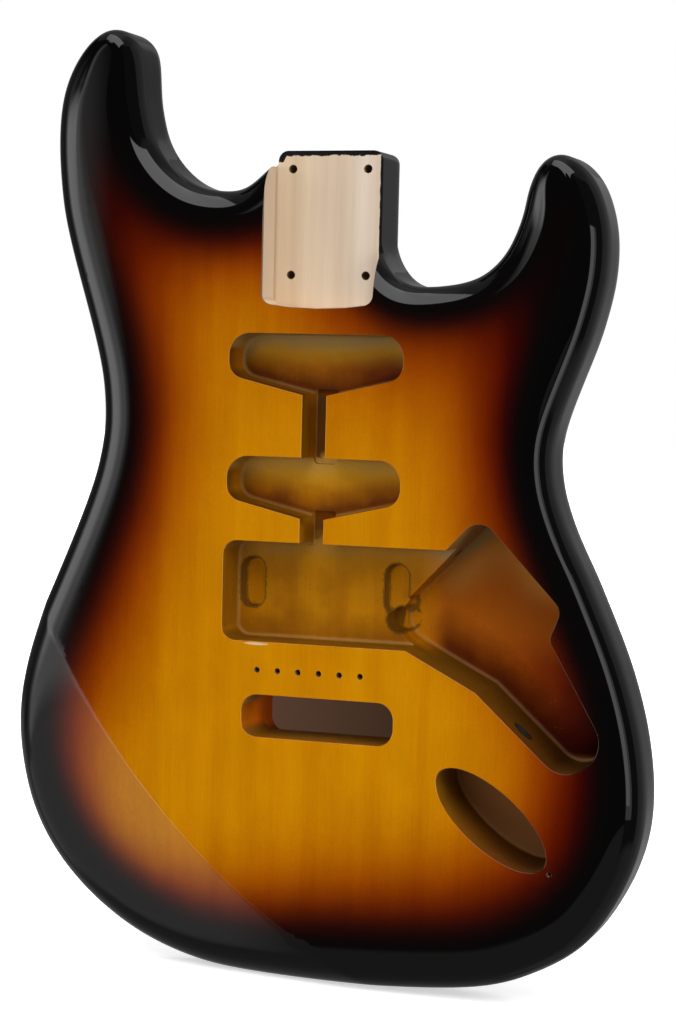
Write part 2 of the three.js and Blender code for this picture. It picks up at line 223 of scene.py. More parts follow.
# Outline seen from the front, as shares of width and length
OUTLINE_SHARES = np.array([
    [-0.101, 0.048], [-0.130, 0.034], [-0.167, 0.032], [-0.206, 0.038], [-0.245, 0.056],
    [-0.276, 0.085], [-0.291, 0.121], [-0.307, 0.188], [-0.340, 0.202], [-0.374, 0.192],
    [-0.408, 0.163], [-0.428, 0.119], [-0.423, 0.019], [-0.350, -0.177], [-0.356, -0.255],
    [-0.480, -0.477], [-0.497, -0.527], [-0.499, -0.575], [-0.483, -0.635], [-0.448, -0.684],
    [-0.387, -0.730], [-0.301, -0.768], [-0.202, -0.790], [-0.092, -0.796], [0.261, -0.782],
    [0.347, -0.761], [0.417, -0.728], [0.466, -0.678], [0.494, -0.626], [0.501, -0.579],
    [0.492, -0.518], [0.466, -0.451], [0.416, -0.368], [0.373, -0.305], [0.354, -0.261],
    [0.353, -0.218], [0.408, -0.103], [0.424, -0.048], [0.422, 0.0], [0.402, 0.041],
    [0.374, 0.062], [0.348, 0.068], [0.324, 0.058], [0.307, 0.035], [0.296, 0.003],
    [0.271, -0.034], [0.230, -0.057], [0.141, -0.065], [0.112, -0.057], [0.094, -0.043],
    [0.083, -0.026], [0.078, -0.002], [0.070, 0.024], [0.047, 0.052], [0.0, 0.067],
    [-0.043, 0.069], [-0.077, 0.062]])

# Control cavity outline as shares of its box, each corner with its radius as a share of the width
CONTROL_SHARES = np.array([
    [0.454, 0, 0.077], [0.800, -0.343, 0.056], [0.751, -0.459, 0.043], [1, -0.868, 0.118],
    [0.829, -1, 0.118], [0.457, -0.679, 0.034], [0, -0.458, 0.111]])
JACK_WIRE_SHARE = (0.65, -0.76)
GROUND_WIRE_SHARE = (0.4, -0.156)

# Width in millimetres of the red and the black spray at even steps along the outline, from the bass
# cutaway round the long horn
RED_SPRAY = np.array([32, 49, 30, 26, 28, 58, 48, 48, 60, 63, 29, 37, 30, 53,
                      59, 60, 60, 47, 33, 63, 66, 28, 34, 34, 43, 71, 80, 31]) * 0.001
BLACK_SPRAY = np.array([23, 23, 19, 16, 12, 22, 23, 23, 24, 25, 20, 28, 23, 24,
                        30, 27, 27, 21, 19, 18, 19, 15, 23, 12, 12, 19, 18, 19]) * 0.001
# Strength and steepness of each coat's build-up
RED_BUILD_UP = (1.22, 1.84)
BLACK_BUILD_UP = (10.8, 1.58)

# The burst's colours: bare amber, how fast each channel falls as the red coat thickens, and black
AMBER = (0.63, 0.245, 0.0007)
RED_EXPONENTS = (2.29, 4.67, 6.0)
BURST_SHARES = (0.0, 0.08, 0.17, 0.27, 0.38, 0.50, 0.65, 0.82, 1.0)
BLACK_LACQUER = (0.0022, 0.0019, 0.0019)
# The painted highlight added to a mouth's lip, and the painted shade that a lip facing upwards is multiplied
# by
LIP_HIGHLIGHT = (0.16, 0.11, 0.045)
LOWER_LIP_SHADE = (0.42, 0.30, 0.4)

# Painted highlight: a pale lens-shaped glint on the lacquer under the bridge pickup cavity
GLINT_X = -0.0268
GLINT_Z = -0.2034
GLINT_LENGTH = 0.0144
GLINT_HEIGHT = 0.0015
GLINT_COLOUR = (0.72, 0.55, 0.30)

# Where one zone of the cavities gives way to the next: X, then heights
TREBLE_ZONE = (0.045, 0.060)
MIDDLE_ZONE = (-0.085, -0.105)
LOW_ZONE = (-0.147, -0.151)
SLOT_ZONE = (-0.222, -0.225)
JACK_ZONE = (-0.250, -0.256)
NARROW_ZONE = (-0.147, -0.143)
CONTROL_TOP_ZONE = (-0.188, -0.172)
SHELTERED_ZONE = (-0.215, -0.190)

# Where the lacquer begins at the neck pocket's end and side, and the hole for the jack's wires
POCKET_END_EDGE = (0.0316, 0.0320)
POCKET_SIDE_EDGE = (0.0252, 0.0254)
WIRE_HOLE_X = (0.055, 0.060)
WIRE_HOLE_Z = (-0.298, -0.296)

# How far dry spray and painted sheen hang below an upper wall and painted shade above a lower one, on the
# bass and the treble side, the colours of the spray and sheen, and the tone of a wall outside the narrow
# cavities
SPRAY_AND_SHEEN_REACHES = (0.0185, 0.033)
SHADE_REACHES = (0.0125, 0.020)
DRY_SPRAY_AND_SHEEN = ((0.56, 0.285, 0.014), (0.50, 0.195, 0.030))
JACK_SPRAY_AND_SHEEN = (0.31, 0.135, 0.045)
DUST_AND_SHEEN = (0.36, 0.235, 0.085)
WALL_TONE = 1.15

# Bare wood from its dark to its pale bands
PALE_WOOD = [(0.30, (0.60, 0.435, 0.285)), (0.50, (0.70, 0.54, 0.375)), (0.70, (0.76, 0.60, 0.435))]

# Camera: angles in degrees, lens and sensor in millimetres, and the pixel that the target falls on
IMAGE_WIDTH = 676
IMAGE_HEIGHT = 1024
AZIMUTH = 19.085
ELEVATION = 3.605
ROLL = 1.3445
DISTANCE = 1.16677
LENS = 85.0
SENSOR = 36.0
TARGET = Vector((0, 0, -0.100))
TARGET_PIXEL = (324.55, 430.55)

# Floor, and the glowing card behind the tremolo slot
FLOOR_LEVEL = -0.3686
FLOOR_SIZE = 8.0
FLOOR_NEAR = 0.3
FLOOR_FAR = 1.2
CARD_INSET = 0.001
CARD_RIM = 0.002
CARD_GLOW_BROWNS = ((0.088, 0.046, 0.028), (0.034, 0.0165, 0.0090))

# The studio that the gloss mirrors, by direction in degrees: azimuth from the front towards +X, then
# elevation, each with how softly its two ends fade, and the level there. Later patches lie over earlier
# ones
STUDIO_LEVEL = 0.19
STUDIO_PATCHES = {
    "ceiling": ((-400, 400), (1, 1), (64, 100), (8, 8), 0.40),
    "floor": ((-400, 400), (1, 1), (-100, -14), (4, 2), 0.17),
    "floor_treble": ((60, 148), (10, 10), (-100, -16), (5, 5), 0.25),
    "floor_behind_bass": ((-170, -100), (10, 10), (-100, -16), (5, 5), 0.2),
    "treble_wall": ((96, 152), (4, 4), (-18, 40), (5, 5), 0.27),
    "behind_treble": ((168, 185), (3, 1), (-60, 60), (5, 5), 0.31),
    "dark_front": ((-126, 46), (4, 2), (-14.5, 38), (0.5, 3), 0.012),
    "dim_bass": ((-124, -70), (5, 12), (-16, 22), (5, 5), 0.09),
    "dark_treble": ((40, 98), (4, 4), (-24, 38), (3, 3), 0.05),
    "floor_bass": ((-92, -41), (6, 3), (-36, -20), (4, 0.7), 0.5),
    "edge_low_bass": ((-185, -102), (5, 6), (-40, -9), (5, 3), 0.26),
    "bass_box_halo": ((-60, -24.95), (6, 0.45), (0.8, 12), (1.5, 4), 0.45),
    "bass_box_tail": ((-80, -60), (6, 6), (-18, 18), (5, 5), 0.35),
    "bass_box_rim": ((-72, -27.1), (6, 2.4), (-19.2, 10), (1.8, 5), 1.2),
    "bass_box": ((-67, -38), (8, 7), (-12, 9), (4, 4), 2.85)}

# Corners of the soft box above the front, by the same two angles, and its level at its bass and its
# treble end
TOP_BOX = ((-113, 69), (69, 46), (20, 21), (-42, 40))
TOP_BOX_LEVELS = (2.0, 2.6)
TOP_BOX_EDGE = 0.014

# Lamps: place, width, height, radiance, and whether the gloss mirrors them
LAMPS = {
    "treble_card": ((0.588, -0.322, -0.138), 0.23, 0.524, 0.7, True),
    "treble_card_core": ((0.568, -0.357, -0.118), 0.15, 0.484, 1.0, True),
    "key": ((-0.4, -1.9, -0.35), 1.3, 1.0, 3.6, False),
    "treble_fill": ((1.7, -1.0, 0.4), 1.0, 1.0, 2.6, False),
    "bass_fill": ((-1.8, -0.8, 0.3), 1.0, 1.0, 2.2, False),
    "back_fill": ((0.6, 1.9, 0.9), 1.2, 1.0, 6.0, False)}

# Finishes, as indexes into every plank's material list
LACQUER, CAVITY, POCKET, HOLE, CUT_WOOD = range(5)

# Sockets of a mix node: its two numbers, its two colours and the colour that it gives
NUMBER_A, NUMBER_B = 2, 3
COLOUR_A, COLOUR_B, COLOUR_MIXED = 6, 7, 2


# Outlines

def cross2(a, b):
    """z of the cross product of plan vectors: a.x * b.y - a.y * b.x."""
    return a[..., 0] * b[..., 1] - a[..., 1] * b[..., 0]


def unit(v):
    return v / np.linalg.norm(v, axis=-1, keepdims=True)


def closed_curve(points, per_span):
    """Closed centripetal Catmull-Rom curve: between points 1 and 2 it is the cubic Hermite with tangents
    from the differences of points 0 to 3, each divided by the square root of its chord."""
    p0, p1, p2, p3 = (np.roll(points, shift, axis=0) for shift in (1, 0, -1, -2))
    d0, d1, d2 = (np.sqrt(np.linalg.norm(b - a, axis=1))[:, None] for a, b in ((p0, p1), (p1, p2), (p2, p3)))
    t1 = ((p1 - p0) / d0 - (p2 - p0) / (d0 + d1) + (p2 - p1) / d1) * d1
    t2 = ((p2 - p1) / d1 - (p3 - p1) / (d1 + d2) + (p3 - p2) / d2) * d1
    u = np.arange(per_span)[None, :, None] / per_span
    p1, p2, t1, t2 = (a[:, None, :] for a in (p1, p2, t1, t2))
    curve = p1 + t1 * u + (3 * (p2 - p1) - 2 * t1 - t2) * u**2 + (2 * (p1 - p2) + t1 + t2) * u**3
    return curve.reshape(-1, 2)


def walked(points):
    """The closed polyline, and its length up to each of its points."""
    closed = np.vstack([points, points[:1]])
    return closed, np.concatenate([[0], np.cumsum(np.linalg.norm(np.diff(closed, axis=0), axis=1))])


def at_lengths(closed, along, lengths):
    return np.stack([np.interp(lengths, along, closed[:, k]) for k in (0, 1)], axis=1)


def even_steps(points, count):
    """The closed polyline resampled at count even steps of its length."""
    closed, along = walked(points)
    return at_lengths(closed, along, np.arange(count) / count * along[-1])


def body_outline(count):
    return even_steps(closed_curve(OUTLINE_SHARES * (BODY_WIDTH, BODY_LENGTH), SPAN_STEPS), count)


def smooth_round(values, spread):
    """Periodic Gaussian blur over spread samples, applied twice with the first pass's loss added back, so
    bends keep their size: the response is 1 - (1 - g)^2 for the Gaussian's g."""
    frequency = np.fft.fftfreq(len(values)) * 2 * np.pi
    g = np.exp(-0.5 * (frequency * spread) ** 2)
    response = 1 - (1 - g) ** 2
    shape = (-1,) + (1,) * (values.ndim - 1)
    return np.fft.ifft(np.fft.fft(values, axis=0) * response.reshape(shape), axis=0).real


def local_least(values, spread):
    """The least value within spread samples on either side, smoothed over the same spread."""
    least = np.min([np.roll(values, k) for k in range(-spread, spread + 1)], axis=0)
    return np.minimum(values.max(), smooth_round(least, spread))


def over_squares(points, others, reduced):
    """The squared distances from each point to all the others, reduced to one number for each point, in
    parts of limited size."""
    parts = np.array_split(points, max(1, len(points) // PART_SIZE))
    return np.concatenate([
        reduced(((part[:, None, :] - others[None, :, :]) ** 2).sum(axis=2)) for part in parts])


def nearest(points, others):
    """Distance from each point to the nearest of the others."""
    return over_squares(points, others, lambda squares: np.sqrt(squares.min(axis=1)))


def free_inset(points, inward):
    """How far each point can move inwards before another part of the outline is nearer than its own."""
    free = np.full(len(points), INSETS_TRIED[-1])
    for inset in INSETS_TRIED[::-1]:
        free[nearest(points + inward * inset, points) < OWN_SHARE * inset] = inset
    return free


def outline_stations():
    """Outline points, their inward normals, how far a rounded edge may reach inwards, which is the edge
    radius, or REACH_SHARE of the outline's own radius where it bends more tightly than that, and the scale
    of the ease beyond it, which has the room that is left."""
    points = smooth_round(body_outline(STATIONS), OUTLINE_SMOOTHING)
    after, before = np.roll(points, -1, axis=0), np.roll(points, 1, axis=0)
    along = (after - before) / 2
    curvature = cross2(along, after - 2 * points + before) / np.linalg.norm(along, axis=1) ** 3
    bend_radius = 1 / np.maximum(curvature, 1e-6)
    spread = int(EDGE_RADIUS / np.linalg.norm(along, axis=1).mean())
    reach = local_least(np.minimum(EDGE_RADIUS, REACH_SHARE * bend_radius), spread)
    inward = unit(along) @ np.array([[0, 1], [-1, 0]])
    left = ROOM_SHARE * free_inset(points, inward) - reach
    ease = np.clip(left / EDGE_TAIL_SHARE, LEAST_EASE_SHARE * EDGE_RADIUS, EDGE_RADIUS)
    return points, inward, reach, local_least(ease, spread)


def rounded_outline(corners):
    """Closed outline whose corners (x, z, radius) are replaced by arcs of that radius, tangent to both
    sides: the arc's centre lies on the bisector at radius / sin(half the corner's angle)."""
    corners = np.asarray(corners, float)
    place, radius = corners[:, :2], corners[:, 2:]
    if cross2(place, np.roll(place, -1, axis=0)).sum() < 0:
        place, radius = place[::-1], radius[::-1]
    before = unit(np.roll(place, 1, axis=0) - place)
    after = unit(np.roll(place, -1, axis=0) - place)
    half = np.arccos(np.clip((before * after).sum(axis=1), -1, 1))[:, None] / 2
    start = place + before * radius / np.tan(half)
    centre = place + unit(before + after + TINY) * radius / np.sin(half)
    turn = (np.pi - 2 * half) * np.sign(cross2(-before, after))[:, None]
    angle = turn * np.linspace(0, 1, CORNER_STEPS + 1)[None, :]
    arm = (start - centre)[:, None, :]
    turned = np.stack([arm[..., 0] * np.cos(angle) - arm[..., 1] * np.sin(angle),
                       arm[..., 0] * np.sin(angle) + arm[..., 1] * np.cos(angle)], axis=2)
    return with_even_sides((centre[:, None, :] + turned).reshape(-1, 2))


def with_even_sides(points):
    """The same outline with repeated points dropped and long sides divided about every OUTLINE_STEP."""
    step = np.linalg.norm(points - np.roll(points, 1, axis=0), axis=1)
    closed, along = walked(points[step > SAME_POINT])
    even = np.arange(0, along[-1], OUTLINE_STEP)
    gap = np.abs(even[:, None] - along[None, :]).min(axis=1)
    return at_lengths(closed, along, np.sort(np.concatenate([along[:-1], even[gap > OUTLINE_STEP / 2]])))


def rectangle(left, right, bottom, top, radius):
    return rounded_outline([(left, bottom, radius), (right, bottom, radius), (right, top, radius),
                            (left, top, radius)])


def circle(centre, diameter, steps):
    angles = np.arange(steps) * 2 * np.pi / steps
    return np.stack([np.cos(angles), np.sin(angles)], axis=1) * diameter / 2 + centre


def crossings(outline, points, k):
    """How far each edge of the outline lies from each point along axis k, or nan for an edge that the line
    through the point along that axis misses."""
    a, b = outline, np.roll(outline, -1, axis=0)
    across = 1 - k
    place = points[:, across, None]
    spans = (a[None, :, across] > place) != (b[None, :, across] > place)
    run = np.where(b[:, across] == a[:, across], TINY, b[:, across] - a[:, across])
    at = a[None, :, k] + (place - a[None, :, across]) * (b[:, k] - a[:, k])[None, :] / run[None, :]
    return np.where(spans, at - points[:, k, None], np.nan)


def inside(outline, points):
    """Even-odd test: a point is inside when a ray towards +X crosses the outline an odd number of times."""
    return (crossings(outline, points, 0) > 0).sum(axis=1) % 2 == 1


def room_in(outline, plan, sign):
    """Distance from each point straight up, or straight down for a sign of -1, to the outline that it lies
    in. It is 0 outside the outline."""
    room = crossings(outline, plan, 1) * sign
    return np.where(inside(outline, plan), np.where(room > 0, room, np.inf).min(axis=1), 0)


def hexagonal_points(outline, step, extra=np.empty((0, 2))):
    """Points of a triangular lattice inside the outline, kept most of a step clear of it. Rows of extra
    points replace the lattice near them."""
    low, high = outline.min(axis=0), outline.max(axis=0)
    rows = np.arange(low[1], high[1], step * math.sqrt(3) / 2)
    x, z = np.meshgrid(np.arange(low[0], high[0], step), rows)
    x = x + (np.arange(len(rows)) % 2)[:, None] * step / 2
    points = np.stack([x.ravel(), z.ravel()], axis=1)
    extra = extra[inside(outline, extra)]
    extra = extra[nearest(extra, outline) > EXTRA_CLEAR_SHARE * step]
    points = points[inside(outline, points)]
    points = points[nearest(points, np.vstack([outline, extra])) > LATTICE_CLEAR_SHARE * step]
    return np.vstack([extra, points])


# Contours

def contour_centre(contour):
    bearing = math.radians(contour["bearing"])
    reach = contour["radius"] + contour["side"] * contour["width"]
    place = np.array(contour["place_share"]) * (BODY_WIDTH, BODY_LENGTH)
    return place + reach * np.array([math.cos(bearing), math.sin(bearing)])


def contour_drop(contour, plan):
    """Depth of a contour below its face: slope times the distance beyond its arc, with the crease rounded
    as the hyperbola (t + sqrt(t^2 + c^2)) / 2."""
    crease = contour["crease"]
    beyond = contour["side"] * (np.linalg.norm(plan - contour_centre(contour), axis=-1) - contour["radius"])
    eased = (beyond + np.sqrt(beyond**2 + crease**2)) / 2
    fade = crease**2 / (4 * (np.abs(beyond) + crease))
    return np.maximum(eased - fade * (beyond < 0), 0) * math.tan(math.radians(contour["slope"]))


def crease_rows(contour):
    """Rows of points along a contour's arc, close together across it."""
    angles = np.arange(0, 2 * np.pi, CREASE_STEP / contour["radius"])
    radius = contour["radius"] + (CREASE_ROW_SHARES * max(contour["crease"], LEAST_CREASE))[:, None]
    ring = np.stack([radius * np.cos(angles), radius * np.sin(angles)], axis=2)
    return (ring + contour_centre(contour)).reshape(-1, 2)


def back_radius(plan):
    """Radius of the back edge: the body's own, fading to the heel's near the neck by a smooth step."""
    gap = np.hypot(np.maximum(0, np.abs(plan[:, 0]) - HEEL_WIDTH / 2),
                   np.maximum(0, -POCKET_WIDTH / 2 - plan[:, 1]))
    share = np.clip(gap / HEEL_FADE, 0, 1)
    share = share * share * (3 - 2 * share)
    return HEEL_EDGE_RADIUS + (EDGE_RADIUS - HEEL_EDGE_RADIUS) * share


# Solids

def linked(name, data):
    """A new object of the mesh, lamp or camera data, in the scene."""
    made = bpy.data.objects.new(name, data)
    bpy.context.scene.collection.objects.link(made)
    return made


def new_object(name, vertices, faces, finish, lip_faces=0):
    """A mesh object of one finish, apart from its first faces: those are lacquered."""
    mesh = bpy.data.meshes.new(name)
    mesh.from_pydata(vertices.tolist(), [], faces)
    for _ in range(CUT_WOOD + 1):
        mesh.materials.append(None)
    slots = np.where(np.arange(len(mesh.polygons)) < lip_faces, LACQUER, finish)
    mesh.polygons.foreach_set("material_index", slots.astype(np.int32))
    mesh.update()
    return linked(name, mesh)


def lid(ring_indexes, ring_plan, inner_plan, first_inner, towards_front):
    """Triangles that fill a ring through inner points, by constrained Delaunay triangulation."""
    count = len(ring_plan)
    plan = np.vstack([ring_plan, inner_plan])
    edges = [(i, (i + 1) % count) for i in range(count)]
    points, _, triangles, *_ = delaunay_2d_cdt(list(map(Vector, plan.tolist())), edges, [], 1, 1e-9)
    triangles, where = np.array(triangles), np.array(points)
    a, b, c = (where[triangles[:, k]] for k in range(3))
    flip = cross2(b - a, c - a) < 0
    triangles[flip] = triangles[flip][:, ::-1]
    if not towards_front:
        triangles = triangles[:, ::-1]
    index = np.concatenate([ring_indexes, first_inner + np.arange(len(inner_plan))])
    return index[triangles].tolist()


def wall_faces(rings, count):
    """Quads between successive rings, facing outwards for rings that run anticlockwise seen from the
    front and go deeper one by one."""
    j, i = np.meshgrid(np.arange(rings - 1), np.arange(count), indexing="ij")
    a, b = j * count + i, j * count + (i + 1) % count
    return np.stack([a, a + count, b + count, b], axis=2).reshape(-1, 4).tolist()


def quarter_turn(steps):
    return np.linspace(0, np.pi / 2, steps + 1)


def edge_profile():
    """Rows of a rounded edge of unit radius, from the face to the wall. At arc length s its tilt is
    w * log(1 + exp(s / w)) for w = EDGE_EASE_SHARE, a quarter circle eased into the face, and its inset
    and drop are the integrals of the tilt's cosine and sine. The inset beyond the quarter circle is kept
    apart."""
    s = np.linspace(-EDGE_TAIL_SHARE, np.pi / 2, PROFILE_SAMPLES)
    tilt = np.minimum(EDGE_EASE_SHARE * np.log1p(np.exp(s / EDGE_EASE_SHARE)), np.pi / 2)
    drop = np.concatenate([[0], np.cumsum(np.sin(tilt))[:-1]]) * (s[1] - s[0])
    inset = np.cumsum(np.cos(tilt)[::-1])[::-1] * (s[1] - s[0])
    rows = np.concatenate([-EDGE_TAIL_SHARE * TAIL_SHARES, quarter_turn(ROUND_STEPS)])
    inset = np.interp(rows, s, inset - inset[-1])
    tail = np.maximum(inset - np.interp(0, rows, inset), 0)
    return np.stack([inset - tail, tail, np.interp(rows, s, drop)], axis=1)


def body_blank():
    """The shaped body before routing. Ring k of the rounded front edge lies inside the outline and below
    the contoured face by the edge profile's own inset and drop; the back edge mirrors it. Both faces are
    height fields over a triangular lattice."""
    outline, inward, reach, ease = outline_stations()

    def edge_ring(inset, tail, drop, radius, contour, face_y, sign):
        across = np.minimum(radius, reach) * inset + np.minimum(radius, ease) * tail
        plan = outline + inward * across[:, None]
        y = face_y + sign * (contour_drop(contour, plan) + radius * drop)
        return np.stack([plan[:, 0], y, plan[:, 1]], axis=1)

    profile = edge_profile()
    front = [edge_ring(*row, np.full(STATIONS, EDGE_RADIUS), FOREARM, FRONT_Y, 1) for row in profile]
    back = [edge_ring(*row, back_radius(outline), RIBS, BACK_Y, -1) for row in profile[::-1]]
    shares = np.linspace(0, 1, WALL_STEPS + 1)[1:-1]
    rings = front + [front[-1] + (back[0] - front[-1]) * share for share in shares] + back

    vertices, faces = list(rings), wall_faces(len(rings), STATIONS)
    first_inner = len(rings) * STATIONS
    for k, contour, face_y, sign in ((0, FOREARM, FRONT_Y, 1), (len(rings) - 1, RIBS, BACK_Y, -1)):
        ring = rings[k][:, (0, 2)]
        inner = hexagonal_points(ring, FACE_STEP, crease_rows(contour))
        vertices.append(np.insert(inner, 1, face_y + sign * contour_drop(contour, inner), axis=1))
        faces += lid(np.arange(STATIONS) + k * STATIONS, ring, inner, first_inner, sign > 0)
        first_inner += len(inner)
    return new_object("blank", np.vstack(vertices), faces, LACQUER)


def carried_profile(name, outline, depths, insets, finish, floor_step=FLOOR_STEP, lip_rows=0):
    """A profile carried round a plan outline: row j lies at depth j, moved inwards by inset j along the
    outline's mitred normals. A flat lid closes each end, the far one through a lattice of points. The
    first lip_rows rows of faces are lacquered."""
    edge = unit(np.roll(outline, -1, axis=0) - outline)
    side = np.stack([-edge[:, 1], edge[:, 0]], axis=1)
    before = np.roll(side, 1, axis=0)
    mitre = (side + before) / (1 + (side * before).sum(axis=1))[:, None]
    count = len(outline)
    plans = [outline + mitre * inset for inset in insets]
    rings = [np.insert(plan, 1, depth, axis=1) for plan, depth in zip(plans, depths)]
    inner = hexagonal_points(plans[-1], floor_step)
    vertices = np.vstack(rings + [np.insert(inner, 1, depths[-1], axis=1)])
    faces = wall_faces(len(rings), count) + [list(range(count))]
    last = (len(rings) - 1) * count
    faces += lid(last + np.arange(count), plans[-1], inner, len(rings) * count, False)
    return new_object(name, vertices, faces, finish, lip_rows * count)


def routed(name, outline, floor_y, fillet=FLOOR_FILLET, lip=MOUTH_RADIUS, finish=CAVITY):
    """Cutter for a cavity routed from the front: a quarter-round lip that flares at the mouth and starts a
    twentieth of its radius in front of the face, straight walls, and a quarter-round fillet to the floor."""
    lips = quarter_turn(LIP_STEPS)
    fillets = quarter_turn(FILLET_STEPS) if fillet else np.array([0.0])
    walls = np.linspace(FRONT_Y + lip, floor_y - fillet, CAVITY_ROWS)[1:-1]
    depths = np.concatenate([[FRONT_Y - OVERRUN], FRONT_Y - lip / 20 + lip * (1 - np.cos(lips)), walls,
                             floor_y - fillet + fillet * np.sin(fillets)])
    insets = np.concatenate([[-lip], lip * np.sin(lips) - lip, np.zeros(len(walls)),
                             fillet * (1 - np.cos(fillets))])
    lip_rows = 0 if finish == POCKET else LIP_STEPS + 1
    return carried_profile(name, outline, depths, insets, finish, lip_rows=lip_rows)


def cut_from_back(name, outline, floor_y, fillet=FLOOR_FILLET):
    """The same from the back: the routed cutter mirrored in depth about the body's middle plane."""
    middle = (FRONT_Y + BACK_Y) / 2
    made = routed(name, outline, 2 * middle - floor_y, fillet)
    made.data.transform(Matrix.Translation((0, 2 * middle, 0)) @ Matrix.Scale(-1, 4, (0, 1, 0)))
    made.data.flip_normals()
    return made


def bore(name, start, end, diameter, finish=HOLE, steps=HOLE_STEPS):
    """Round bar between two points: a circle of the given diameter swept along the line."""
    start, end = Vector(start), Vector(end)
    turn = (end - start).to_track_quat("Z", "Y").to_matrix()
    ring = np.insert(circle(0, diameter, steps), 2, 0, axis=1) @ np.array(turn).T
    a = np.arange(steps)
    b = (a + 1) % steps
    faces = np.stack([a, b, b + steps, a + steps], axis=1).tolist()
    faces += [a[::-1].tolist(), (a + steps).tolist()]
    return new_object(name, np.vstack([ring + np.array(start), ring + np.array(end)]), faces, finish)


def drilled(name, x, z, depth, diameter):
    """Cutter for a hole drilled into the front: a circle carried down, flared into a small lip."""
    return routed(name, circle((x, z), diameter, HOLE_STEPS), FRONT_Y + depth, 0, HOLE_LIP, HOLE)


def heel_block():
    """Block under the neck: a rectangle with rounded corners, its back edge a quarter round."""
    half, level = HEEL_WIDTH / 2, BACK_Y - HEEL_EDGE_RADIUS
    turns = quarter_turn(HEEL_STEPS)
    outline = rectangle(-half, half, POCKET_INNER_END, HEEL_END, HEEL_CORNER)
    depths = np.concatenate([[HEEL_START], np.linspace(HEEL_FIRST_ROW, level, HEEL_ROWS)[:-1],
                             BACK_Y - HEEL_EDGE_RADIUS * (1 - np.sin(turns))])
    insets = np.concatenate([np.zeros(HEEL_ROWS), HEEL_EDGE_RADIUS * (1 - np.cos(turns))])
    return carried_profile("heel_block", outline, depths, insets, LACQUER, FACE_STEP)


# Routing

def pocket_outline():
    """The far wall is bowed: its middle lies POCKET_BOW beyond its two ends."""
    half = POCKET_WIDTH / 2
    side, shoulder = POCKET_INNER_END + POCKET_BOW, POCKET_INNER_END + POCKET_BOW / 4
    return rounded_outline([
        (half, HEEL_END + OVERRUN, 0), (-half, HEEL_END + OVERRUN, 0), (-half, side, POCKET_CORNER),
        (-half / 2, shoulder, half / 4), (0, POCKET_INNER_END, half / 4),
        (half / 2, shoulder, half / 4), (half, side, POCKET_CORNER)])


def pickup_outline(top):
    half, channel = PICKUP_LENGTH / 2, CHANNEL_WIDTH / 2
    side, tip = top - PICKUP_SIDE_SHARE * PICKUP_END_RADIUS, top - PICKUP_REACH
    corner = PICKUP_CORNER_SHARE * PICKUP_END_RADIUS
    return rounded_outline([
        (half, top, PICKUP_END_RADIUS), (-half, top, PICKUP_END_RADIUS), (-half, side, corner),
        (-channel, tip, 0), (channel, tip, 0), (half, side, corner)])


def bridge_pickup_outline():
    """Both right-hand corners lie inside the control cavity."""
    bottom = BRIDGE_PICKUP_TOP - BRIDGE_PICKUP_HEIGHT
    right = CONTROL_LEFT + CONTROL_WIDTH / 4
    return rounded_outline([
        (x, z, BRIDGE_PICKUP_CORNER) for x, z in (
            (BRIDGE_PICKUP_LEFT, bottom), (right, bottom), (right + CONTROL_WIDTH / 5, BRIDGE_PICKUP_TOP),
            (BRIDGE_PICKUP_LEFT, BRIDGE_PICKUP_TOP))])


def leg_pocket_outline(side):
    x, half = side * LEG_SPACING / 2, LEG_POCKET_WIDTH / 2
    middle = BRIDGE_PICKUP_TOP - BRIDGE_PICKUP_HEIGHT / 2 + OVERRUN / 2
    return rectangle(x - half, x + half, middle - LEG_POCKET_LENGTH / 2, middle + LEG_POCKET_LENGTH / 2,
                     LEG_ROUND_SHARE * LEG_POCKET_WIDTH)


def wire_pocket_place():
    return (LEG_SPACING / 2 + FLOOR_FILLET / 2,
            BRIDGE_PICKUP_TOP - BRIDGE_PICKUP_HEIGHT + WIRE_POCKET_ACROSS)


def control_place(share):
    return CONTROL_LEFT + share[0] * CONTROL_WIDTH, CONTROL_TOP + share[1] * CONTROL_HEIGHT


def control_outline():
    return rounded_outline([(*control_place(share), share[2] * CONTROL_WIDTH) for share in CONTROL_SHARES])


def jack_outline():
    """Ellipse: half length times cosine and half width times sine, turned by the tilt."""
    arms = circle(0, 2, ELLIPSE_STEPS) * (JACK_LENGTH / 2, JACK_WIDTH / 2)
    cosine, sine = math.cos(JACK_TILT), math.sin(JACK_TILT)
    return arms @ np.array([[cosine, sine], [-sine, cosine]]) + (JACK_X, JACK_Z)


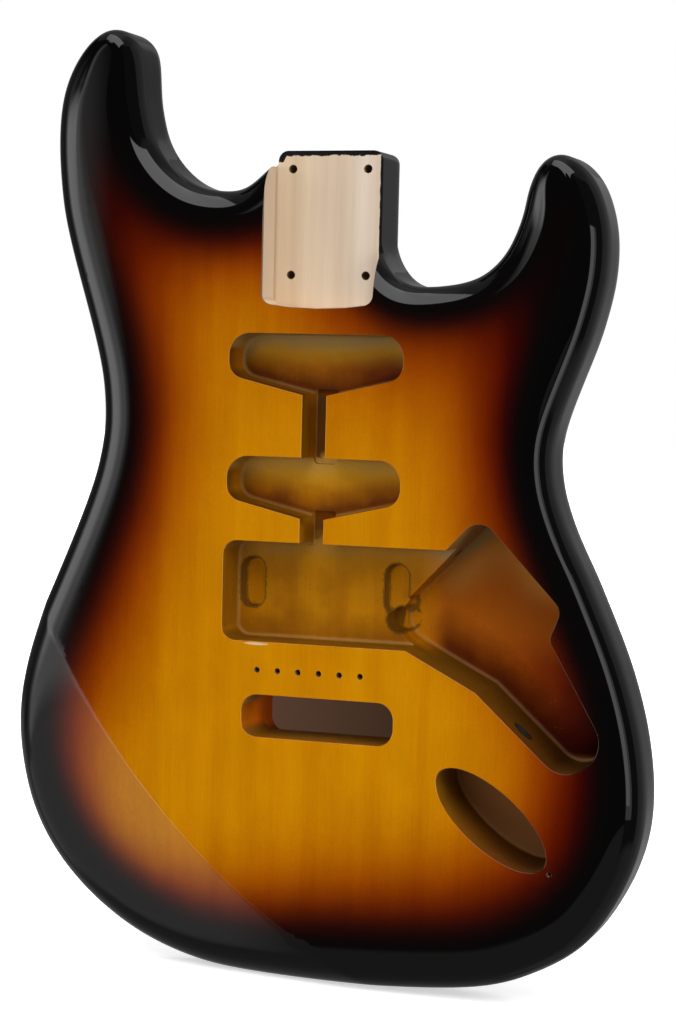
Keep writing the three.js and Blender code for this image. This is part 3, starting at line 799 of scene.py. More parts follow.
def cutters():
    """Every cutter, front ones first."""
    sides = (-1, 1)
    yield routed("neck_pocket", pocket_outline(), 0, 0, POCKET_LIP, POCKET)
    for x, z in [(i * BOLT_SPACING_X / 2, k * BOLT_SPACING_Z / 2) for i in sides for k in sides]:
        yield bore("neck_bolt_hole", (x, -OVERRUN, z), (x, BACK_Y + OVERRUN, z), BOLT_HOLE)
    for top in (NECK_PICKUP_TOP, MIDDLE_PICKUP_TOP):
        yield routed("pickup", pickup_outline(top), FRONT_Y + PICKUP_DEPTH)
    half = CHANNEL_WIDTH / 2
    for top, next_top in ((NECK_PICKUP_TOP, MIDDLE_PICKUP_TOP), (MIDDLE_PICKUP_TOP, BRIDGE_PICKUP_TOP)):
        outline = rectangle(-half, half, next_top - CHANNEL_OVERLAP, top - PICKUP_REACH + CHANNEL_OVERLAP,
                            CHANNEL_CORNER)
        yield routed("wire_channel", outline, FRONT_Y + CHANNEL_DEPTH, CHANNEL_FILLET)
    yield routed("bridge_pickup", bridge_pickup_outline(), POCKET_SHELF)
    for side in sides:
        yield routed("leg_pocket", leg_pocket_outline(side), POCKET_SHELF + LEG_POCKET_DEPTH, LEG_FILLET, 0)

    control_floor = FRONT_Y + CONTROL_DEPTH
    yield routed("control_cavity", control_outline(), control_floor)
    x, z = wire_pocket_place()
    yield bore("wire_pocket", (x, FRONT_Y, z), (x, control_floor - FLOOR_FILLET, z), WIRE_POCKET_ACROSS,
               CAVITY, WIRE_POCKET_STEPS)

    yield routed("jack_cavity", jack_outline(), FRONT_Y + JACK_DEPTH)
    arm = JACK_SCREW_PITCH / 2
    yield drilled("jack_screw_hole", JACK_X + arm * math.cos(JACK_TILT), JACK_Z + arm * math.sin(JACK_TILT),
                  JACK_SCREW_DEPTH, JACK_SCREW_HOLE)
    for k in range(BRIDGE_SCREW_COUNT):
        x = (k - (BRIDGE_SCREW_COUNT - 1) / 2) * BRIDGE_SCREW_PITCH
        yield drilled("bridge_screw_hole", x, BRIDGE_SCREW_LINE, BRIDGE_SCREW_DEPTH, BRIDGE_SCREW_HOLE)

    right, bottom = SLOT_LEFT + SLOT_WIDTH, SLOT_TOP - SLOT_HEIGHT
    spring_floor = BACK_Y - SPRING_CAVITY_DEPTH
    slot = rectangle(SLOT_LEFT, right, bottom, SLOT_TOP, SLOT_CORNER)
    yield routed("tremolo_slot", slot, BACK_Y + OVERRUN, 0)
    room = rectangle(SLOT_LEFT, right, bottom - BLOCK_SWING, SLOT_TOP, SLOT_CORNER)
    yield cut_from_back("block_room", room, spring_floor, 0)
    half = SPRING_CAVITY_WIDTH / 2
    springs = rectangle(-half, half, SLOT_TOP - SLOT_HEIGHT / 2, SPRING_CAVITY_TOP, SPRING_CAVITY_CORNER)
    yield cut_from_back("spring_cavity", springs, spring_floor)
    for side in sides:
        x, y = side * CLAW_SCREW_SPACING / 2, BACK_Y - SPRING_CAVITY_DEPTH / 2
        yield bore("claw_screw_hole", (x, y, SPRING_CAVITY_TOP - OVERRUN),
                   (x, y, SPRING_CAVITY_TOP + CLAW_SCREW_DEPTH), CLAW_SCREW_HOLE)

    x, z = control_place(JACK_WIRE_SHARE)
    yield bore("jack_wire_hole", (JACK_X, FRONT_Y + JACK_DEPTH / 2, JACK_Z),
               (x, FRONT_Y + JACK_WIRE_DEPTH, z), JACK_WIRE_HOLE)
    x, z = control_place(GROUND_WIRE_SHARE)
    y = (spring_floor + control_floor) / 2
    yield bore("ground_wire_hole", (half - OVERRUN, y, z), (x, y, z), GROUND_WIRE_HOLE, CAVITY)


def combine(target, tool, operation):
    """Applies one exact boolean and removes the tool."""
    boolean = target.modifiers.new("cut", "BOOLEAN")
    boolean.operation = operation
    boolean.solver = "MANIFOLD"
    boolean.object = tool
    result = bpy.data.meshes.new_from_object(target.evaluated_get(bpy.context.evaluated_depsgraph_get()))
    target.modifiers.clear()
    old = target.data
    target.data = result
    bpy.data.meshes.remove(old)
    bpy.data.meshes.remove(tool.data)


def routed_body():
    made = body_blank()
    combine(made, heel_block(), "UNION")
    for cutter in cutters():
        combine(made, cutter, "DIFFERENCE")
    return made


# Planks

def scored(source):
    """The body's mesh with an edge loop along every glue line, still in one piece, so that the planks cut
    from it share their normals across the joints."""
    work = bmesh.new()
    work.from_mesh(source.data)
    for x in (OUTER_GLUE_X, BASS_GLUE_X, TREBLE_GLUE_X):
        bmesh.ops.bisect_plane(work, geom=work.verts[:] + work.edges[:] + work.faces[:], dist=SAME_POINT,
                               plane_co=(x, 0, 0), plane_no=(1, 0, 0))
    beyond = [f for f in work.faces if f.calc_center_median().x < OUTER_GLUE_X]
    parts = beyond + list({part for f in beyond for part in (*f.verts, *f.edges)})
    bmesh.ops.bisect_plane(work, geom=parts, dist=SAME_POINT, plane_co=(0, 0, WAIST_Z), plane_no=(0, 0, 1))
    mesh = bpy.data.meshes.new("scored")
    work.to_mesh(mesh)
    work.free()
    return mesh


def read(collection, key, width, kind=np.float32):
    values = np.empty(len(collection) * width, kind)
    collection.foreach_get(key, values)
    return values.reshape(-1, width) if width > 1 else values


def surface_normals(mesh):
    """Corner normals by angle, made exactly level wherever the wood is flat, so that a gloss reflection
    stays straight right up to a routed edge."""
    mesh.polygons.foreach_set("use_smooth", np.ones(len(mesh.polygons), bool))
    mesh.set_sharp_from_angle(angle=SHARP_ANGLE)
    normals = read(mesh.corner_normals, "vector", 3).astype(float)
    points = read(mesh.vertices, "co", 3)[read(mesh.loops, "vertex_index", 1, np.int32)]
    for level, direction in ((FRONT_Y, -1.0), (BACK_Y, 1.0)):
        flat = (np.abs(points[:, 1] - level) < ON_PLANE) & (normals[:, 1] * direction > NEARLY_LEVEL)
        normals[flat] = (0, direction, 0)
    return normals


def coat(plan, widths, build_up):
    """How opaque a coat is at each point, from 0 to 1. The spray that reaches a point from a gun moved
    along the outline is a Gaussian of each outline point's own width, summed over the outline and scaled
    to 1 at a straight edge's line, and the coat is 1 - exp(-strength * spray^steepness)."""
    outline = body_outline(SPRAY_STATIONS)
    along = np.arange(SPRAY_STATIONS) / SPRAY_STATIONS * len(widths)
    width = np.interp(along, np.arange(len(widths) + 1), np.append(widths, widths[0]))
    weight = np.linalg.norm(outline[1] - outline[0]) / (width * math.sqrt(math.pi))
    spray = over_squares(plan, outline, lambda squares: (np.exp(-squares / width**2) * weight).sum(axis=1))
    strength, steepness = build_up
    return 1 - np.exp(-strength * spray**steepness)


def add_coats(mesh):
    """Stores how opaque the red and the black coats are at each point, how far the walls of the cavities
    are above and below it, and how far away the nearest small pocket's edge is."""
    plan = read(mesh.vertices, "co", 3)[:, (0, 2)].astype(float)
    outlines = [pickup_outline(NECK_PICKUP_TOP), pickup_outline(MIDDLE_PICKUP_TOP), bridge_pickup_outline(),
                control_outline(), jack_outline()]
    pockets = [leg_pocket_outline(-1), leg_pocket_outline(1),
               circle(wire_pocket_place(), WIRE_POCKET_ACROSS, RIM_STEPS // 2)]
    for name, values in (
            ("room_above", np.max([room_in(outline, plan, 1) for outline in outlines], axis=0)),
            ("room_below", np.max([room_in(outline, plan, -1) for outline in outlines], axis=0)),
            ("pocket_edge", nearest(plan, np.vstack([even_steps(pocket, RIM_STEPS) for pocket in pockets]))),
            ("red_coat", coat(plan, RED_SPRAY, RED_BUILD_UP)),
            ("black_coat", coat(plan, BLACK_SPRAY, BLACK_BUILD_UP))):
        mesh.attributes.new(name, "FLOAT", "POINT").data.foreach_set("value", values.astype(np.float32))


def close_joints(mesh, centre):
    """Fills the open rims that lie along the glue lines with flat cut faces, facing away from the centre."""
    work = bmesh.new()
    work.from_mesh(mesh)
    for axis, level in ((0, OUTER_GLUE_X), (0, BASS_GLUE_X), (0, TREBLE_GLUE_X), (2, WAIST_Z)):
        rim = [e for e in work.edges
               if e.is_boundary and all(abs(v.co[axis] - level) < ON_PLANE for v in e.verts)]
        if not rim:
            continue
        normal = Vector((0, 0, 0))
        normal[axis] = 1.0 if level > centre[axis] else -1.0
        for face in bmesh.ops.triangle_fill(work, use_beauty=True, edges=rim, normal=normal)["geom"]:
            if isinstance(face, bmesh.types.BMFace):
                face.material_index = CUT_WOOD
                face.normal_update()
                if face.normal.dot(normal) < 0:
                    face.normal_flip()
    work.to_mesh(mesh)
    work.free()


def plank(name, mesh, normals, chosen, materials):
    """One plank: the chosen faces of the scored body, closed by flat cut faces along its glue lines."""
    points = read(mesh.vertices, "co", 3)
    corners = read(mesh.loops, "vertex_index", 1, np.int32)
    totals = read(mesh.polygons, "loop_total", 1, np.int32)
    kept = np.repeat(chosen, totals)
    used, renumbered = np.unique(corners[kept], return_inverse=True)
    faces = [part.tolist() for part in np.split(renumbered, np.cumsum(totals[chosen])[:-1])]
    made = bpy.data.meshes.new(name)
    made.from_pydata(points[used].tolist(), [], faces)
    made.polygons.foreach_set("material_index", read(mesh.polygons, "material_index", 1, np.int32)[chosen])
    close_joints(made, points[used].mean(axis=0))
    made.polygons.foreach_set("use_smooth", np.ones(len(made.polygons), bool))
    cut_normals = read(made.polygons, "normal", 3)[len(faces):]
    cut_totals = read(made.polygons, "loop_total", 1, np.int32)[len(faces):]
    made.normals_split_custom_set(
        np.vstack([normals[kept], np.repeat(cut_normals, cut_totals, axis=0)]).tolist())
    add_coats(made)
    for material in materials:
        made.materials.append(material)
    return linked(name, made)


# Finishes

class Out:
    """A node's output. Arithmetic on it adds a math node for each operator."""

    def __init__(self, s, socket):
        self.s, self.socket = s, socket

    def __add__(self, other):
        return self.s.math("ADD", self, other)

    def __sub__(self, other):
        return self.s.math("SUBTRACT", self, other)

    def __rsub__(self, other):
        return self.s.math("SUBTRACT", other, self)

    def __mul__(self, other):
        return self.s.math("MULTIPLY", self, other)

    def __truediv__(self, other):
        return self.s.math("DIVIDE", self, other)

    def held(self):
        """The same number, held between 0 and 1."""
        self.socket.node.use_clamp = True
        return self


class Shading:
    """Short names for building a node tree: each call adds one node and returns its output."""

    def __init__(self, tree):
        self.tree = tree

    def feed(self, socket, value):
        if isinstance(value, Out):
            self.tree.links.new(value.socket, socket)
        else:
            socket.default_value = (*value, 1.0) if socket.type == "RGBA" else value

    def feed_all(self, node, values):
        for key, value in values.items():
            self.feed(node.inputs[key], value)

    def node(self, kind, values=None, **settings):
        made = self.tree.nodes.new(kind)
        for key, value in settings.items():
            setattr(made, key, value)
        self.feed_all(made, values or {})
        return made

    def out(self, kind, key, values=None, **settings):
        return Out(self, self.node(kind, values, **settings).outputs[key])

    def coordinates(self, kind):
        return self.out("ShaderNodeTexCoord", kind)

    def scaled(self, scale):
        """Object coordinates times a scale."""
        place = self.coordinates("Object")
        return self.out("ShaderNodeMapping", "Vector", {"Vector": place, "Scale": scale})

    def noise(self, vector, scale, detail=3.0, roughness=0.5, distortion=0.0):
        return self.out("ShaderNodeTexNoise", "Fac", {
            "Vector": vector, "Scale": scale, "Detail": detail, "Roughness": roughness,
            "Distortion": distortion})

    def dots(self, vector, scale):
        return self.out("ShaderNodeTexVoronoi", "Distance", {"Vector": vector, "Scale": scale})

    def math(self, operation, a, b=0.0):
        return self.out("ShaderNodeMath", 0, {0: a, 1: b}, operation=operation)

    def most(self, a, b):
        return self.math("MAXIMUM", a, b)

    def span(self, value, low, high, to_low=0.0, to_high=1.0, steps="SMOOTHSTEP"):
        """The value's place between low and high, eased unless the steps are linear."""
        return self.out("ShaderNodeMapRange", "Result", {
            "Value": value, "From Min": low, "From Max": high, "To Min": to_low, "To Max": to_high},
            interpolation_type=steps)

    def between(self, value, low, high, softness):
        """1 from low to high, fading to 0 over the softness on either side of each."""
        return (self.span(value, low - softness[0], low + softness[0])
                * self.span(value, high + softness[1], high - softness[1]))

    def mix(self, share, a, b, blend="MIX"):
        """Colour between a and b."""
        return self.out("ShaderNodeMix", COLOUR_MIXED, {0: share, COLOUR_A: a, COLOUR_B: b},
                        data_type="RGBA", blend_type=blend)

    def blend(self, share, a, b):
        """Number between a and b."""
        return self.out("ShaderNodeMix", 0, {0: share, NUMBER_A: a, NUMBER_B: b})

    def tint(self, colour, *others):
        for other in others:
            colour = self.mix(1.0, colour, other, "MULTIPLY")
        return colour

    def ramp(self, value, stops):
        made = self.node("ShaderNodeValToRGB", {"Fac": value})
        elements = made.color_ramp.elements
        while len(elements) < len(stops):
            elements.new(0.5)
        for element, (place, colour) in zip(elements, stops):
            element.position = place
            element.color = (*colour, 1.0)
        return Out(self, made.outputs["Color"])

    def grey(self, level):
        return self.out("ShaderNodeCombineXYZ", 0, {0: level, 1: level, 2: level})

    def attribute(self, name):
        return self.out("ShaderNodeAttribute", "Fac", attribute_name=name)

    def parts(self, vector):
        return [Out(self, socket) for socket in self.node("ShaderNodeSeparateXYZ", {0: vector}).outputs]

    def coordinate_parts(self, kind):
        return self.parts(self.coordinates(kind))

    def bump(self, height, strength, distance):
        return self.out("ShaderNodeBump", "Normal", {
            "Height": height, "Strength": strength, "Distance": distance})

    def group(self, tree, key):
        return self.out("ShaderNodeGroup", key, node_tree=tree)

    def give(self, **values):
        """Ends a node group: each value becomes an output of that name, a colour or a number."""
        for name, value in values.items():
            kind = "NodeSocketColor" if value.socket.type == "RGBA" else "NodeSocketFloat"
            self.tree.interface.new_socket(name, in_out="OUTPUT", socket_type=kind)
        self.feed_all(self.node("NodeGroupOutput"), values)
        return self.tree


def new_group(name):
    return Shading(bpy.data.node_groups.new(name, "ShaderNodeTree"))


class Surface(Shading):
    """A material whose shader is fed by finish, which returns the material."""

    def __init__(self, name):
        self.material = bpy.data.materials.new(name)
        self.material.use_nodes = True
        super().__init__(self.material.node_tree)

    def finish(self, base, **values):
        """Feeds the shader's base colour and the inputs named, with underscores for their spaces."""
        shader = self.tree.nodes["Principled BSDF"]
        self.feed(shader.inputs["Base Color"], base)
        self.feed_all(shader, {key.replace("_", " "): value for key, value in values.items()})
        return self.material


def grain_group():
    """Long straight grain along Z: a wide band pattern and fine fibres, both stretched along the plank."""
    s = new_group("wood_grain")
    return s.give(Bands=s.noise(s.scaled((1, 0.6, 0.035)), 95, 2.0, 0.45, 0.3),
                  Fibres=s.noise(s.scaled((1, 1, 0.018)), 1500, 3.0, 0.6))


def burst_group(grain):
    """Colour of the sunburst: amber over grain, darkened through orange and red by the red coat and to
    black by the black coat. A slight mottle breaks the coats' edges as spray does."""
    s = new_group("sunburst")
    wobble = (s.noise(s.coordinates("Object"), 900, 2.0, 0.7) - 0.5) * 0.05
    red = (s.attribute("red_coat") + wobble).held()
    black = (s.attribute("black_coat") + wobble).held()
    colour = s.ramp(red, [(share, tuple(a * (1 - share) ** k for a, k in zip(AMBER, RED_EXPONENTS)))
                          for share in BURST_SHARES])
    bands = s.mix(s.span(s.group(grain, "Bands"), 0.32, 0.68), (0.95, 0.89, 0.7), (1.03, 1.05, 1.0))
    fibres = s.span(s.group(grain, "Fibres"), 0.3, 0.7, 0.95, 1.04)
    clouds = s.span(s.noise(s.scaled((1, 1, 0.6)), 45, 3.0, 0.6), 0.35, 0.65, 0.95, 1.04)
    toned = s.tint(colour, s.tint(bands, s.grey(fibres * clouds)))
    return s.give(Colour=s.mix(black, toned, BLACK_LACQUER))


def lacquer_material(burst):
    s = Surface("sunburst_lacquer")
    x, y, z = s.coordinate_parts("Object")
    _, facing_y, facing_z = s.coordinate_parts("Normal")
    # A routed mouth's lip is lighter, a painted highlight, but darker where the lip faces upwards, painted
    # shade
    lip = (s.span(s.math("ABSOLUTE", facing_y), 0.95, 0.80)
           * s.span(y, FRONT_Y + 0.0007, FRONT_Y + 0.0005))
    rising = s.span(facing_z, 0.15, 0.45)
    lip_lit = s.mix(lip * (0.8 - rising).held(), s.group(burst, "Colour"), LIP_HIGHLIGHT, "ADD")
    lip_lit = s.mix(lip * rising, lip_lit, LOWER_LIP_SHADE, "MULTIPLY")
    # A small lens-shaped painted highlight just under the bridge pickup cavity
    across = (x - GLINT_X) / (GLINT_LENGTH / 2)
    lens = across * across + s.math("ABSOLUTE", (z - GLINT_Z) / (GLINT_HEIGHT / 2))
    glint = s.span(lens, 1.0, 0.75) * s.span(y, FRONT_Y + 0.002, FRONT_Y + 0.0015)
    return s.finish(s.mix(glint, lip_lit, GLINT_COLOUR), Roughness=0.35, Specular_IOR_Level=0.0,
                    Coat_Weight=1.0, Coat_Roughness=0.025, Coat_IOR=1.48,
                    Normal=s.bump(s.noise(s.coordinates("Object"), 110, 2.0, 0.5), 0.10, 0.00035))


def cavity_material(burst):
    """Overspray in the routed cavities: the burst's colours, darker on the walls and down each floor, partly
    painted shade, and olive and lighter under each upper wall with dry spray, painted sheen and painted
    light, a pale painted highlight along each wall's foot, torn dark edges round the pockets in the floor
    and specks of dust in a coat that was never rubbed down."""
    s = Surface("cavity_overspray")
    colour = s.group(burst, "Colour")
    place = s.coordinates("Object")
    x, y, z = s.parts(place)
    facing_x, facing_y, facing_z = s.coordinate_parts("Normal")
    level = s.math("ABSOLUTE", facing_y)
    blotch = s.noise(place, 60, 3.0, 0.55)
    fine = s.noise(place, 1100, 3.0, 0.7)
    uneven = (blotch - 0.5) * 0.010
    # Which cavity this is
    treble = s.span(x, *TREBLE_ZONE)
    bass = 1 - treble
    low = s.span(z, *LOW_ZONE)
    jack = treble * s.span(z, *JACK_ZONE)
    control = treble - jack
    slot = bass * s.span(z, *SLOT_ZONE)
    bridge = bass * low - slot
    middle = bass * s.span(z, *MIDDLE_ZONE) * (1 - low)
    # The floors of the small pockets and their walls have one colour
    sunk = s.span(y, POCKET_SHELF + 0.0002, POCKET_SHELF + 0.0008, 0, 0.8) * bridge
    floor = s.most(s.span(level, 0.25, 0.95), sunk)
    stain = s.mix(s.span(blotch, 0.35, 0.65), (0.76, 0.72, 0.3), (0.92, 0.90, 0.5))
    stain = s.mix(control, stain, s.tint(stain, (1.0, 0.76, 0.5)))
    plank_tone = s.span(x, TREBLE_GLUE_X - 0.0002, TREBLE_GLUE_X + 0.0002, 0.90, 1.0)
    sheltered = control * s.span(z, *SHELTERED_ZONE, 0, 0.65)
    base = s.mix(sheltered, s.tint(colour, stain, s.grey(plank_tone)), (0.44, 0.11, 0.003))
    # Walls: darker at the mouths of the narrow cavities and lighter further down, painted light against the
    # shade deep in them, and darkest where they face upwards, painted shade
    deeper = s.span(y, FRONT_Y, FRONT_Y + 0.016, 0.55, 1.5)
    depth_shading = s.span(z, *NARROW_ZONE) * (deeper - WALL_TONE) + WALL_TONE
    lower = s.most(s.span(facing_z, 0.25, 0.75, 1.0, 0.5), jack * 0.8)
    walls = s.mix(s.span(x, *TREBLE_ZONE, 0.35, 0.55), s.tint(colour, (0.70, 0.66, 0.4)),
                  (0.105, 0.060, 0.010))
    walls = s.tint(walls, s.grey(depth_shading * lower))
    # Painted light: the slot's walls that face the treble side are lighter and redder towards the back
    redder = s.mix(s.span(y, -0.010, 0.006), (1.35, 0.95, 0.5), (2.3, 1.25, 0.5))
    walls = s.mix(slot * s.span(facing_x, 0.5, 0.9), walls, s.tint(walls, redder))
    painted = s.mix(floor, walls, base)
    # The spring cavity was sprayed from the back, so the front's dry spray, painted sheen and painted shade
    # don't reach it
    from_front = 1 - bass * s.span(y, SPRING_SIDE - 0.0008, SPRING_SIDE)
    # Under each upper wall the floor is lighter and greyer: partly dry overspray and dust, partly painted
    # sheen and painted light where that wall would shade it
    hazy = s.most(floor, s.span(facing_z, -0.2, -0.6, 0, 0.8)) * from_front
    above = s.attribute("room_above") + uneven
    near_top = s.most(s.span(z, *CONTROL_TOP_ZONE), 1 - control)
    dry_spray_and_sheen = s.span((1 - above / s.span(x, *TREBLE_ZONE, *SPRAY_AND_SHEEN_REACHES)).held(), 0.0, 0.7)
    dry_spray_and_sheen = s.most(dry_spray_and_sheen * (0.85 - bridge * 0.6) * near_top, jack * 0.9)
    spray = s.mix(jack, s.mix(treble, *DRY_SPRAY_AND_SHEEN), JACK_SPRAY_AND_SHEEN)
    greyed = s.mix(dry_spray_and_sheen * hazy, painted, spray)
    thick = (0.9 - (middle * 0.45 + bridge * 0.6 + jack * 0.9)).held()
    dust_and_sheen = s.span(above, 0.010, 0.002) * (hazy * thick)
    greyed = s.mix(dust_and_sheen * near_top, greyed, DUST_AND_SHEEN)
    # Each floor darkens towards its lower wall: painted shade, partly darker paint
    below = s.attribute("room_below") + uneven * 0.6
    down = (1.25 - below / s.span(x, *TREBLE_ZONE, *SHADE_REACHES)).held()
    down = down * (floor * from_front) * (1 - jack - bridge * 0.45)
    lowered = s.mix(down, greyed, s.tint(greyed, (0.30, 0.19, 0.12)))
    # Painted light: the floors of the middle pickup and of the small pockets are lighter, the bridge
    # pickup's floor darker
    lit = middle * 0.22 - bridge * 0.12 + sunk * 0.6 + 1.0
    lowered = s.tint(lowered, s.mix(floor, (1.0, 1.0, 1.0), s.grey(lit)))
    # A pale painted highlight lies along the rounded foot of each wall
    foot = s.span(level, 0.35, 0.60) * s.span(level, 0.95, 0.80)
    lowered = s.mix(foot * 0.17, lowered, (0.55, 0.40, 0.18))
    # Torn and stained wood round the pockets that were cut through the painted floor
    torn = (s.span(s.attribute("pocket_edge") + (fine - 0.5) * 0.0032, 0.0013, 0.0006)
            * s.span(y, POCKET_SHELF - 0.0020, POCKET_SHELF - 0.0018))
    worn = s.mix(torn * 0.65, lowered, (0.045, 0.024, 0.008))
    speckled = s.mix(s.span(fine, 0.60, 0.72, 0.0, 0.35), worn, (0.045, 0.028, 0.010))
    dust = s.span(s.dots(place, 430), 0.085, 0.04) * s.span(s.noise(place, 120, 1.0), 0.52, 0.66)
    return s.finish(s.mix(dust * 0.55, speckled, (0.55, 0.45, 0.28)), Specular_IOR_Level=0.03,
                    Roughness=s.span(blotch, 0.3, 0.7, 0.35, 0.5), Coat_Weight=0.08, Coat_Roughness=0.33,
                    Normal=s.bump(s.noise(place, 260, 3.0, 0.6) + dust * 0.8, 0.25, 0.0006))


def pocket_material(grain):
    """Bare pale wood with vertical tone bands, and black lacquer run in over its masked edges."""
    s = Surface("bare_pocket_wood")
    fibres = s.group(grain, "Fibres")
    place = s.coordinates("Object")
    x, y, z = s.parts(place)
    facing_x = s.coordinate_parts("Normal")[0]
    pale = s.ramp(s.group(grain, "Bands"), PALE_WOOD)
    cooler = s.mix(s.span(x, -0.026, 0.026), (1.04, 1.02, 0.98), (1.04, 1.10, 1.24))
    streaked = s.mix(s.span(fibres, 0.38, 0.62) * 0.12, s.tint(pale, cooler), (0.52, 0.37, 0.22))
    # Painted light: walls that face the treble side are lighter
    streaked = s.mix(s.span(facing_x, 0.5, 0.9) * 0.75, streaked, (0.93, 0.76, 0.58))
    # The lacquer's ragged edge, a darker band at the mouth, and a dark line along the bass side's corner
    ragged = (s.noise(place, 230, 4.0, 0.65) - 0.5) * 0.0032
    corner = s.span(x, -0.0222, -0.0246, 0.0, 0.0034)
    lacquered = s.most(s.span(z + ragged + corner, *POCKET_END_EDGE),
                       s.span(x + ragged * 0.35, *POCKET_SIDE_EDGE))
    mouth = s.span(y + ragged * 0.1, FRONT_Y + 0.0014, FRONT_Y + 0.0009)
    stained = s.mix(mouth * 0.85, streaked, (0.085, 0.042, 0.014))
    corner_line = s.span(s.math("ABSOLUTE", x + (POCKET_WIDTH / 2 - 0.0006)), 0.0009, 0.0002)
    creased = s.mix(corner_line * 0.35, stained, (0.30, 0.19, 0.10))
    return s.finish(s.mix(lacquered, creased, (0.006, 0.005, 0.005)),
                    Roughness=s.span(lacquered, 0, 1, 0.62, 0.18),
                    Normal=s.bump(fibres + lacquered * 2.0, 0.25, 0.0002))


def hole_material(grain):
    """Drilled wood, dark brown, and nearly black in the hole for the jack's wires, painted shade deep in
    that hole.
    """
    s = Surface("drilled_wood")
    x, _, z = s.coordinate_parts("Object")
    # The hole for the jack's wires is painted nearly black: painted shade
    wire_hole = s.span(x, *WIRE_HOLE_X) * s.span(z, *WIRE_HOLE_Z)
    rough = s.mix(s.group(grain, "Fibres"), (0.22, 0.13, 0.06), (0.38, 0.25, 0.13))
    return s.finish(s.tint(rough, s.grey(s.span(wire_hole, 0, 1, 1.0, 0.12))), Roughness=0.6,
                    Normal=s.bump(s.noise(s.coordinates("Object"), 1200, 3.0), 0.4, 0.0002))


def cut_wood_material(grain):
    """The planed face along a glue line."""
    s = Surface("planed_wood")
    fibres = s.group(grain, "Fibres")
    pale = s.mix(s.group(grain, "Bands"), (0.46, 0.33, 0.20), (0.62, 0.47, 0.31))
    return s.finish(s.mix(fibres * 0.4, pale, (0.40, 0.28, 0.16)), Roughness=0.7,
                    Normal=s.bump(fibres, 0.2, 0.0002))


# Camera, floor and light

def towards(azimuth, elevation):
    """Unit vector at an azimuth from the front towards +X and an elevation, both in degrees."""
    azimuth, elevation = math.radians(azimuth), math.radians(elevation)
    return Vector((math.sin(azimuth) * math.cos(elevation), -math.cos(azimuth) * math.cos(elevation),
                   math.sin(elevation)))


def add_camera():
    """A level camera would see the target in the middle of the frame; this one is moved sideways in its
    own plane until the target falls on its pixel."""
    back, level = towards(AZIMUTH, ELEVATION), towards(AZIMUTH + 90, 0)
    roll = math.radians(ROLL)
    upright = back.cross(level)
    right = level * math.cos(roll) + upright * math.sin(roll)
    up = upright * math.cos(roll) - level * math.sin(roll)
    per_pixel = DISTANCE * SENSOR / (LENS * IMAGE_HEIGHT)
    aside = (TARGET_PIXEL[0] - IMAGE_WIDTH / 2) * per_pixel
    above = (IMAGE_HEIGHT / 2 - TARGET_PIXEL[1]) * per_pixel
    data = bpy.data.cameras.new("camera")
    data.lens, data.sensor_width, data.clip_start = LENS, SENSOR, 0.01
    camera = linked("camera", data)
    camera.matrix_world = Matrix.Translation(TARGET - right * aside - up * above + back * DISTANCE) @ Matrix(
        (right, up, back)).transposed().to_4x4()
    bpy.context.scene.camera = camera


def add_lamp(name, centre, width, height, radiance, seen_in_gloss):
    """Rectangular lamp aimed at the body. Its power is radiance * pi * area."""
    data = bpy.data.lights.new(name, "AREA")
    data.shape, data.size, data.size_y = "RECTANGLE", width, height
    data.energy = radiance * math.pi * width * height
    lamp = linked(name, data)
    turn = (Vector(centre) - TARGET).to_track_quat("Z", "Y").to_matrix()
    lamp.matrix_world = Matrix.Translation(centre) @ turn.to_4x4()
    lamp.visible_glossy = seen_in_gloss


def flat_panel(name, corners, material):
    mesh = bpy.data.meshes.new(name)
    mesh.from_pydata(corners, [], [[0, 1, 2, 3]])
    mesh.materials.append(material)
    panel = linked(name, mesh)
    panel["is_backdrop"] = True


def add_floor():
    """White to the camera apart from the body's shadow: a pale floor that glows a little more the further
    away it is. The gloss looks through it at the studio's own lower half."""
    s = Surface("white_floor")
    x, y, _ = s.coordinate_parts("Object")
    white = s.grey(s.span(s.math("SQRT", x * x + y * y), FLOOR_NEAR, FLOOR_FAR, 0.55, 1.0))
    seen = s.out("ShaderNodeLightPath", "Is Camera Ray")
    signs = ((-1, -1), (1, -1), (1, 1), (-1, 1))
    corners = [(FLOOR_SIZE * i, FLOOR_SIZE * k, FLOOR_LEVEL) for i, k in signs]
    flat_panel("floor", corners, s.finish(
        s.mix(seen, (0.0, 0.0, 0.0), (0.95, 0.95, 0.95)), Roughness=0.9, Specular_IOR_Level=0.0,
        Emission_Color=s.mix(seen, (0.2, 0.2, 0.2), white), Emission_Strength=1.0,
        Alpha=1.0 - s.out("ShaderNodeLightPath", "Is Glossy Ray")))


def add_slot_card():
    """Glowing brown card across the back end of the tremolo slot, standing in for a backdrop in shade and
    painted darker towards the treble side, seen through it from the front and clear from behind. Its rim
    lies in the wood, so it is seen from nowhere else."""
    y = BACK_Y - CARD_INSET
    left, right = SLOT_LEFT - CARD_RIM, SLOT_LEFT + SLOT_WIDTH + CARD_RIM
    bottom = SLOT_TOP - SLOT_HEIGHT - BLOCK_SWING - CARD_RIM
    corners = [(left, y, bottom), (right, y, bottom), (right, y, SLOT_TOP), (left, y, SLOT_TOP)]
    s = Surface("brown_card")
    across = s.span(s.coordinate_parts("Object")[0], left, right + 0.010, steps="LINEAR")
    flat_panel("slot_card", corners, s.finish(
        (0, 0, 0), Specular_IOR_Level=0.0, Emission_Color=s.mix(across, *CARD_GLOW_BROWNS),
        Emission_Strength=1.0, Alpha=1.0 - s.out("ShaderNodeNewGeometry", "Backfacing")))


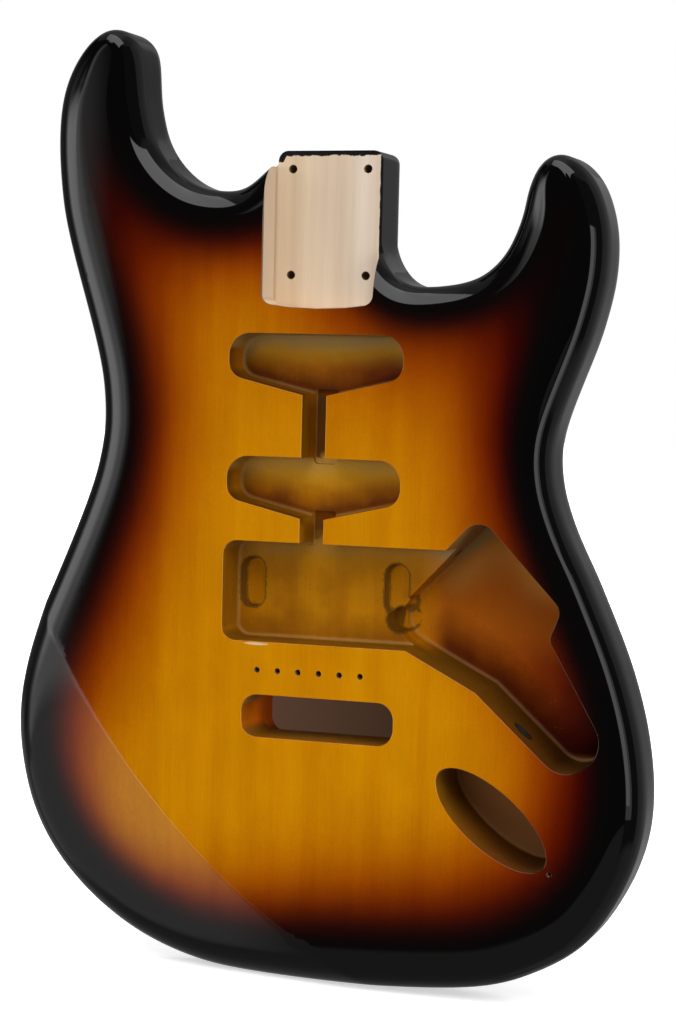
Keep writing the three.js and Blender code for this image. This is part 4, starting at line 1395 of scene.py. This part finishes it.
def add_world():
    """White to the camera. For everything else a dim studio with a soft box at each side and one above the
    front. The upper box is where a direction lies inside all four planes through its edges."""
    world = bpy.data.worlds.new("studio")
    world.use_nodes = True
    bpy.context.scene.world = world
    s = Shading(world.node_tree)
    direction = s.coordinates("Generated")
    x, y, z = s.parts(direction)
    azimuth = s.math("ARCTAN2", x, y * -1.0) * math.degrees(1)
    elevation = s.math("ARCSINE", z) * math.degrees(1)
    level = STUDIO_LEVEL
    for sides, side_softness, ends, end_softness, there in STUDIO_PATCHES.values():
        share = s.between(azimuth, *sides, side_softness) * s.between(elevation, *ends, end_softness)
        level = s.blend(share, level, there)
    corners = [towards(*corner) for corner in TOP_BOX]
    share = 1.0
    for corner, following in zip(corners, corners[1:] + corners[:1]):
        dot = s.out("ShaderNodeVectorMath", "Value", {0: direction, 1: corner.cross(following).normalized()},
                    operation="DOT_PRODUCT")
        share = s.span(dot, TOP_BOX_EDGE, -TOP_BOX_EDGE) * share
    level = s.blend(share, level, s.span(azimuth, -60, 0, *TOP_BOX_LEVELS))
    seen = s.out("ShaderNodeLightPath", "Is Camera Ray")
    s.feed_all(world.node_tree.nodes["Background"], {
        "Color": s.mix(seen, s.grey(level), (1, 1, 1)), "Strength": 1.0})


add_camera()
add_world()
add_floor()
add_slot_card()
for lamp_name, lamp_values in LAMPS.items():
    add_lamp(lamp_name, *lamp_values)

wood_grain = grain_group()
sunburst = burst_group(wood_grain)
finishes = [lacquer_material(sunburst), cavity_material(sunburst), pocket_material(wood_grain),
            hole_material(wood_grain), cut_wood_material(wood_grain)]

body = routed_body()
whole = scored(body)
bpy.data.objects.remove(body)
whole_normals = surface_normals(whole)
centres = read(whole.polygons, "center", 3)
outer = centres[:, 0] < OUTER_GLUE_X
planks = {
    "bass_horn_plank": (outer & (centres[:, 2] > WAIST_Z), "sunburst_dark"),
    "bass_bout_plank": (outer & (centres[:, 2] <= WAIST_Z), "sunburst_dark"),
    "bass_plank": (~outer & (centres[:, 0] < BASS_GLUE_X), "sunburst_amber"),
    "centre_plank": ((centres[:, 0] >= BASS_GLUE_X) & (centres[:, 0] < TREBLE_GLUE_X), "sunburst_amber"),
    "treble_plank": (centres[:, 0] >= TREBLE_GLUE_X, "sunburst_red"),
}
for node, (chosen, material_slot) in planks.items():
    piece = plank("finished_" + node, whole, whole_normals, chosen, finishes)
    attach(piece, "root")
    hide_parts(node)

bpy.context.scene.view_settings.view_transform = "Standard"

({name: [list(map(float, corner)) for corner in box]
           for name, box in (("cad", cad_bounds), ("visual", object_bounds()))})
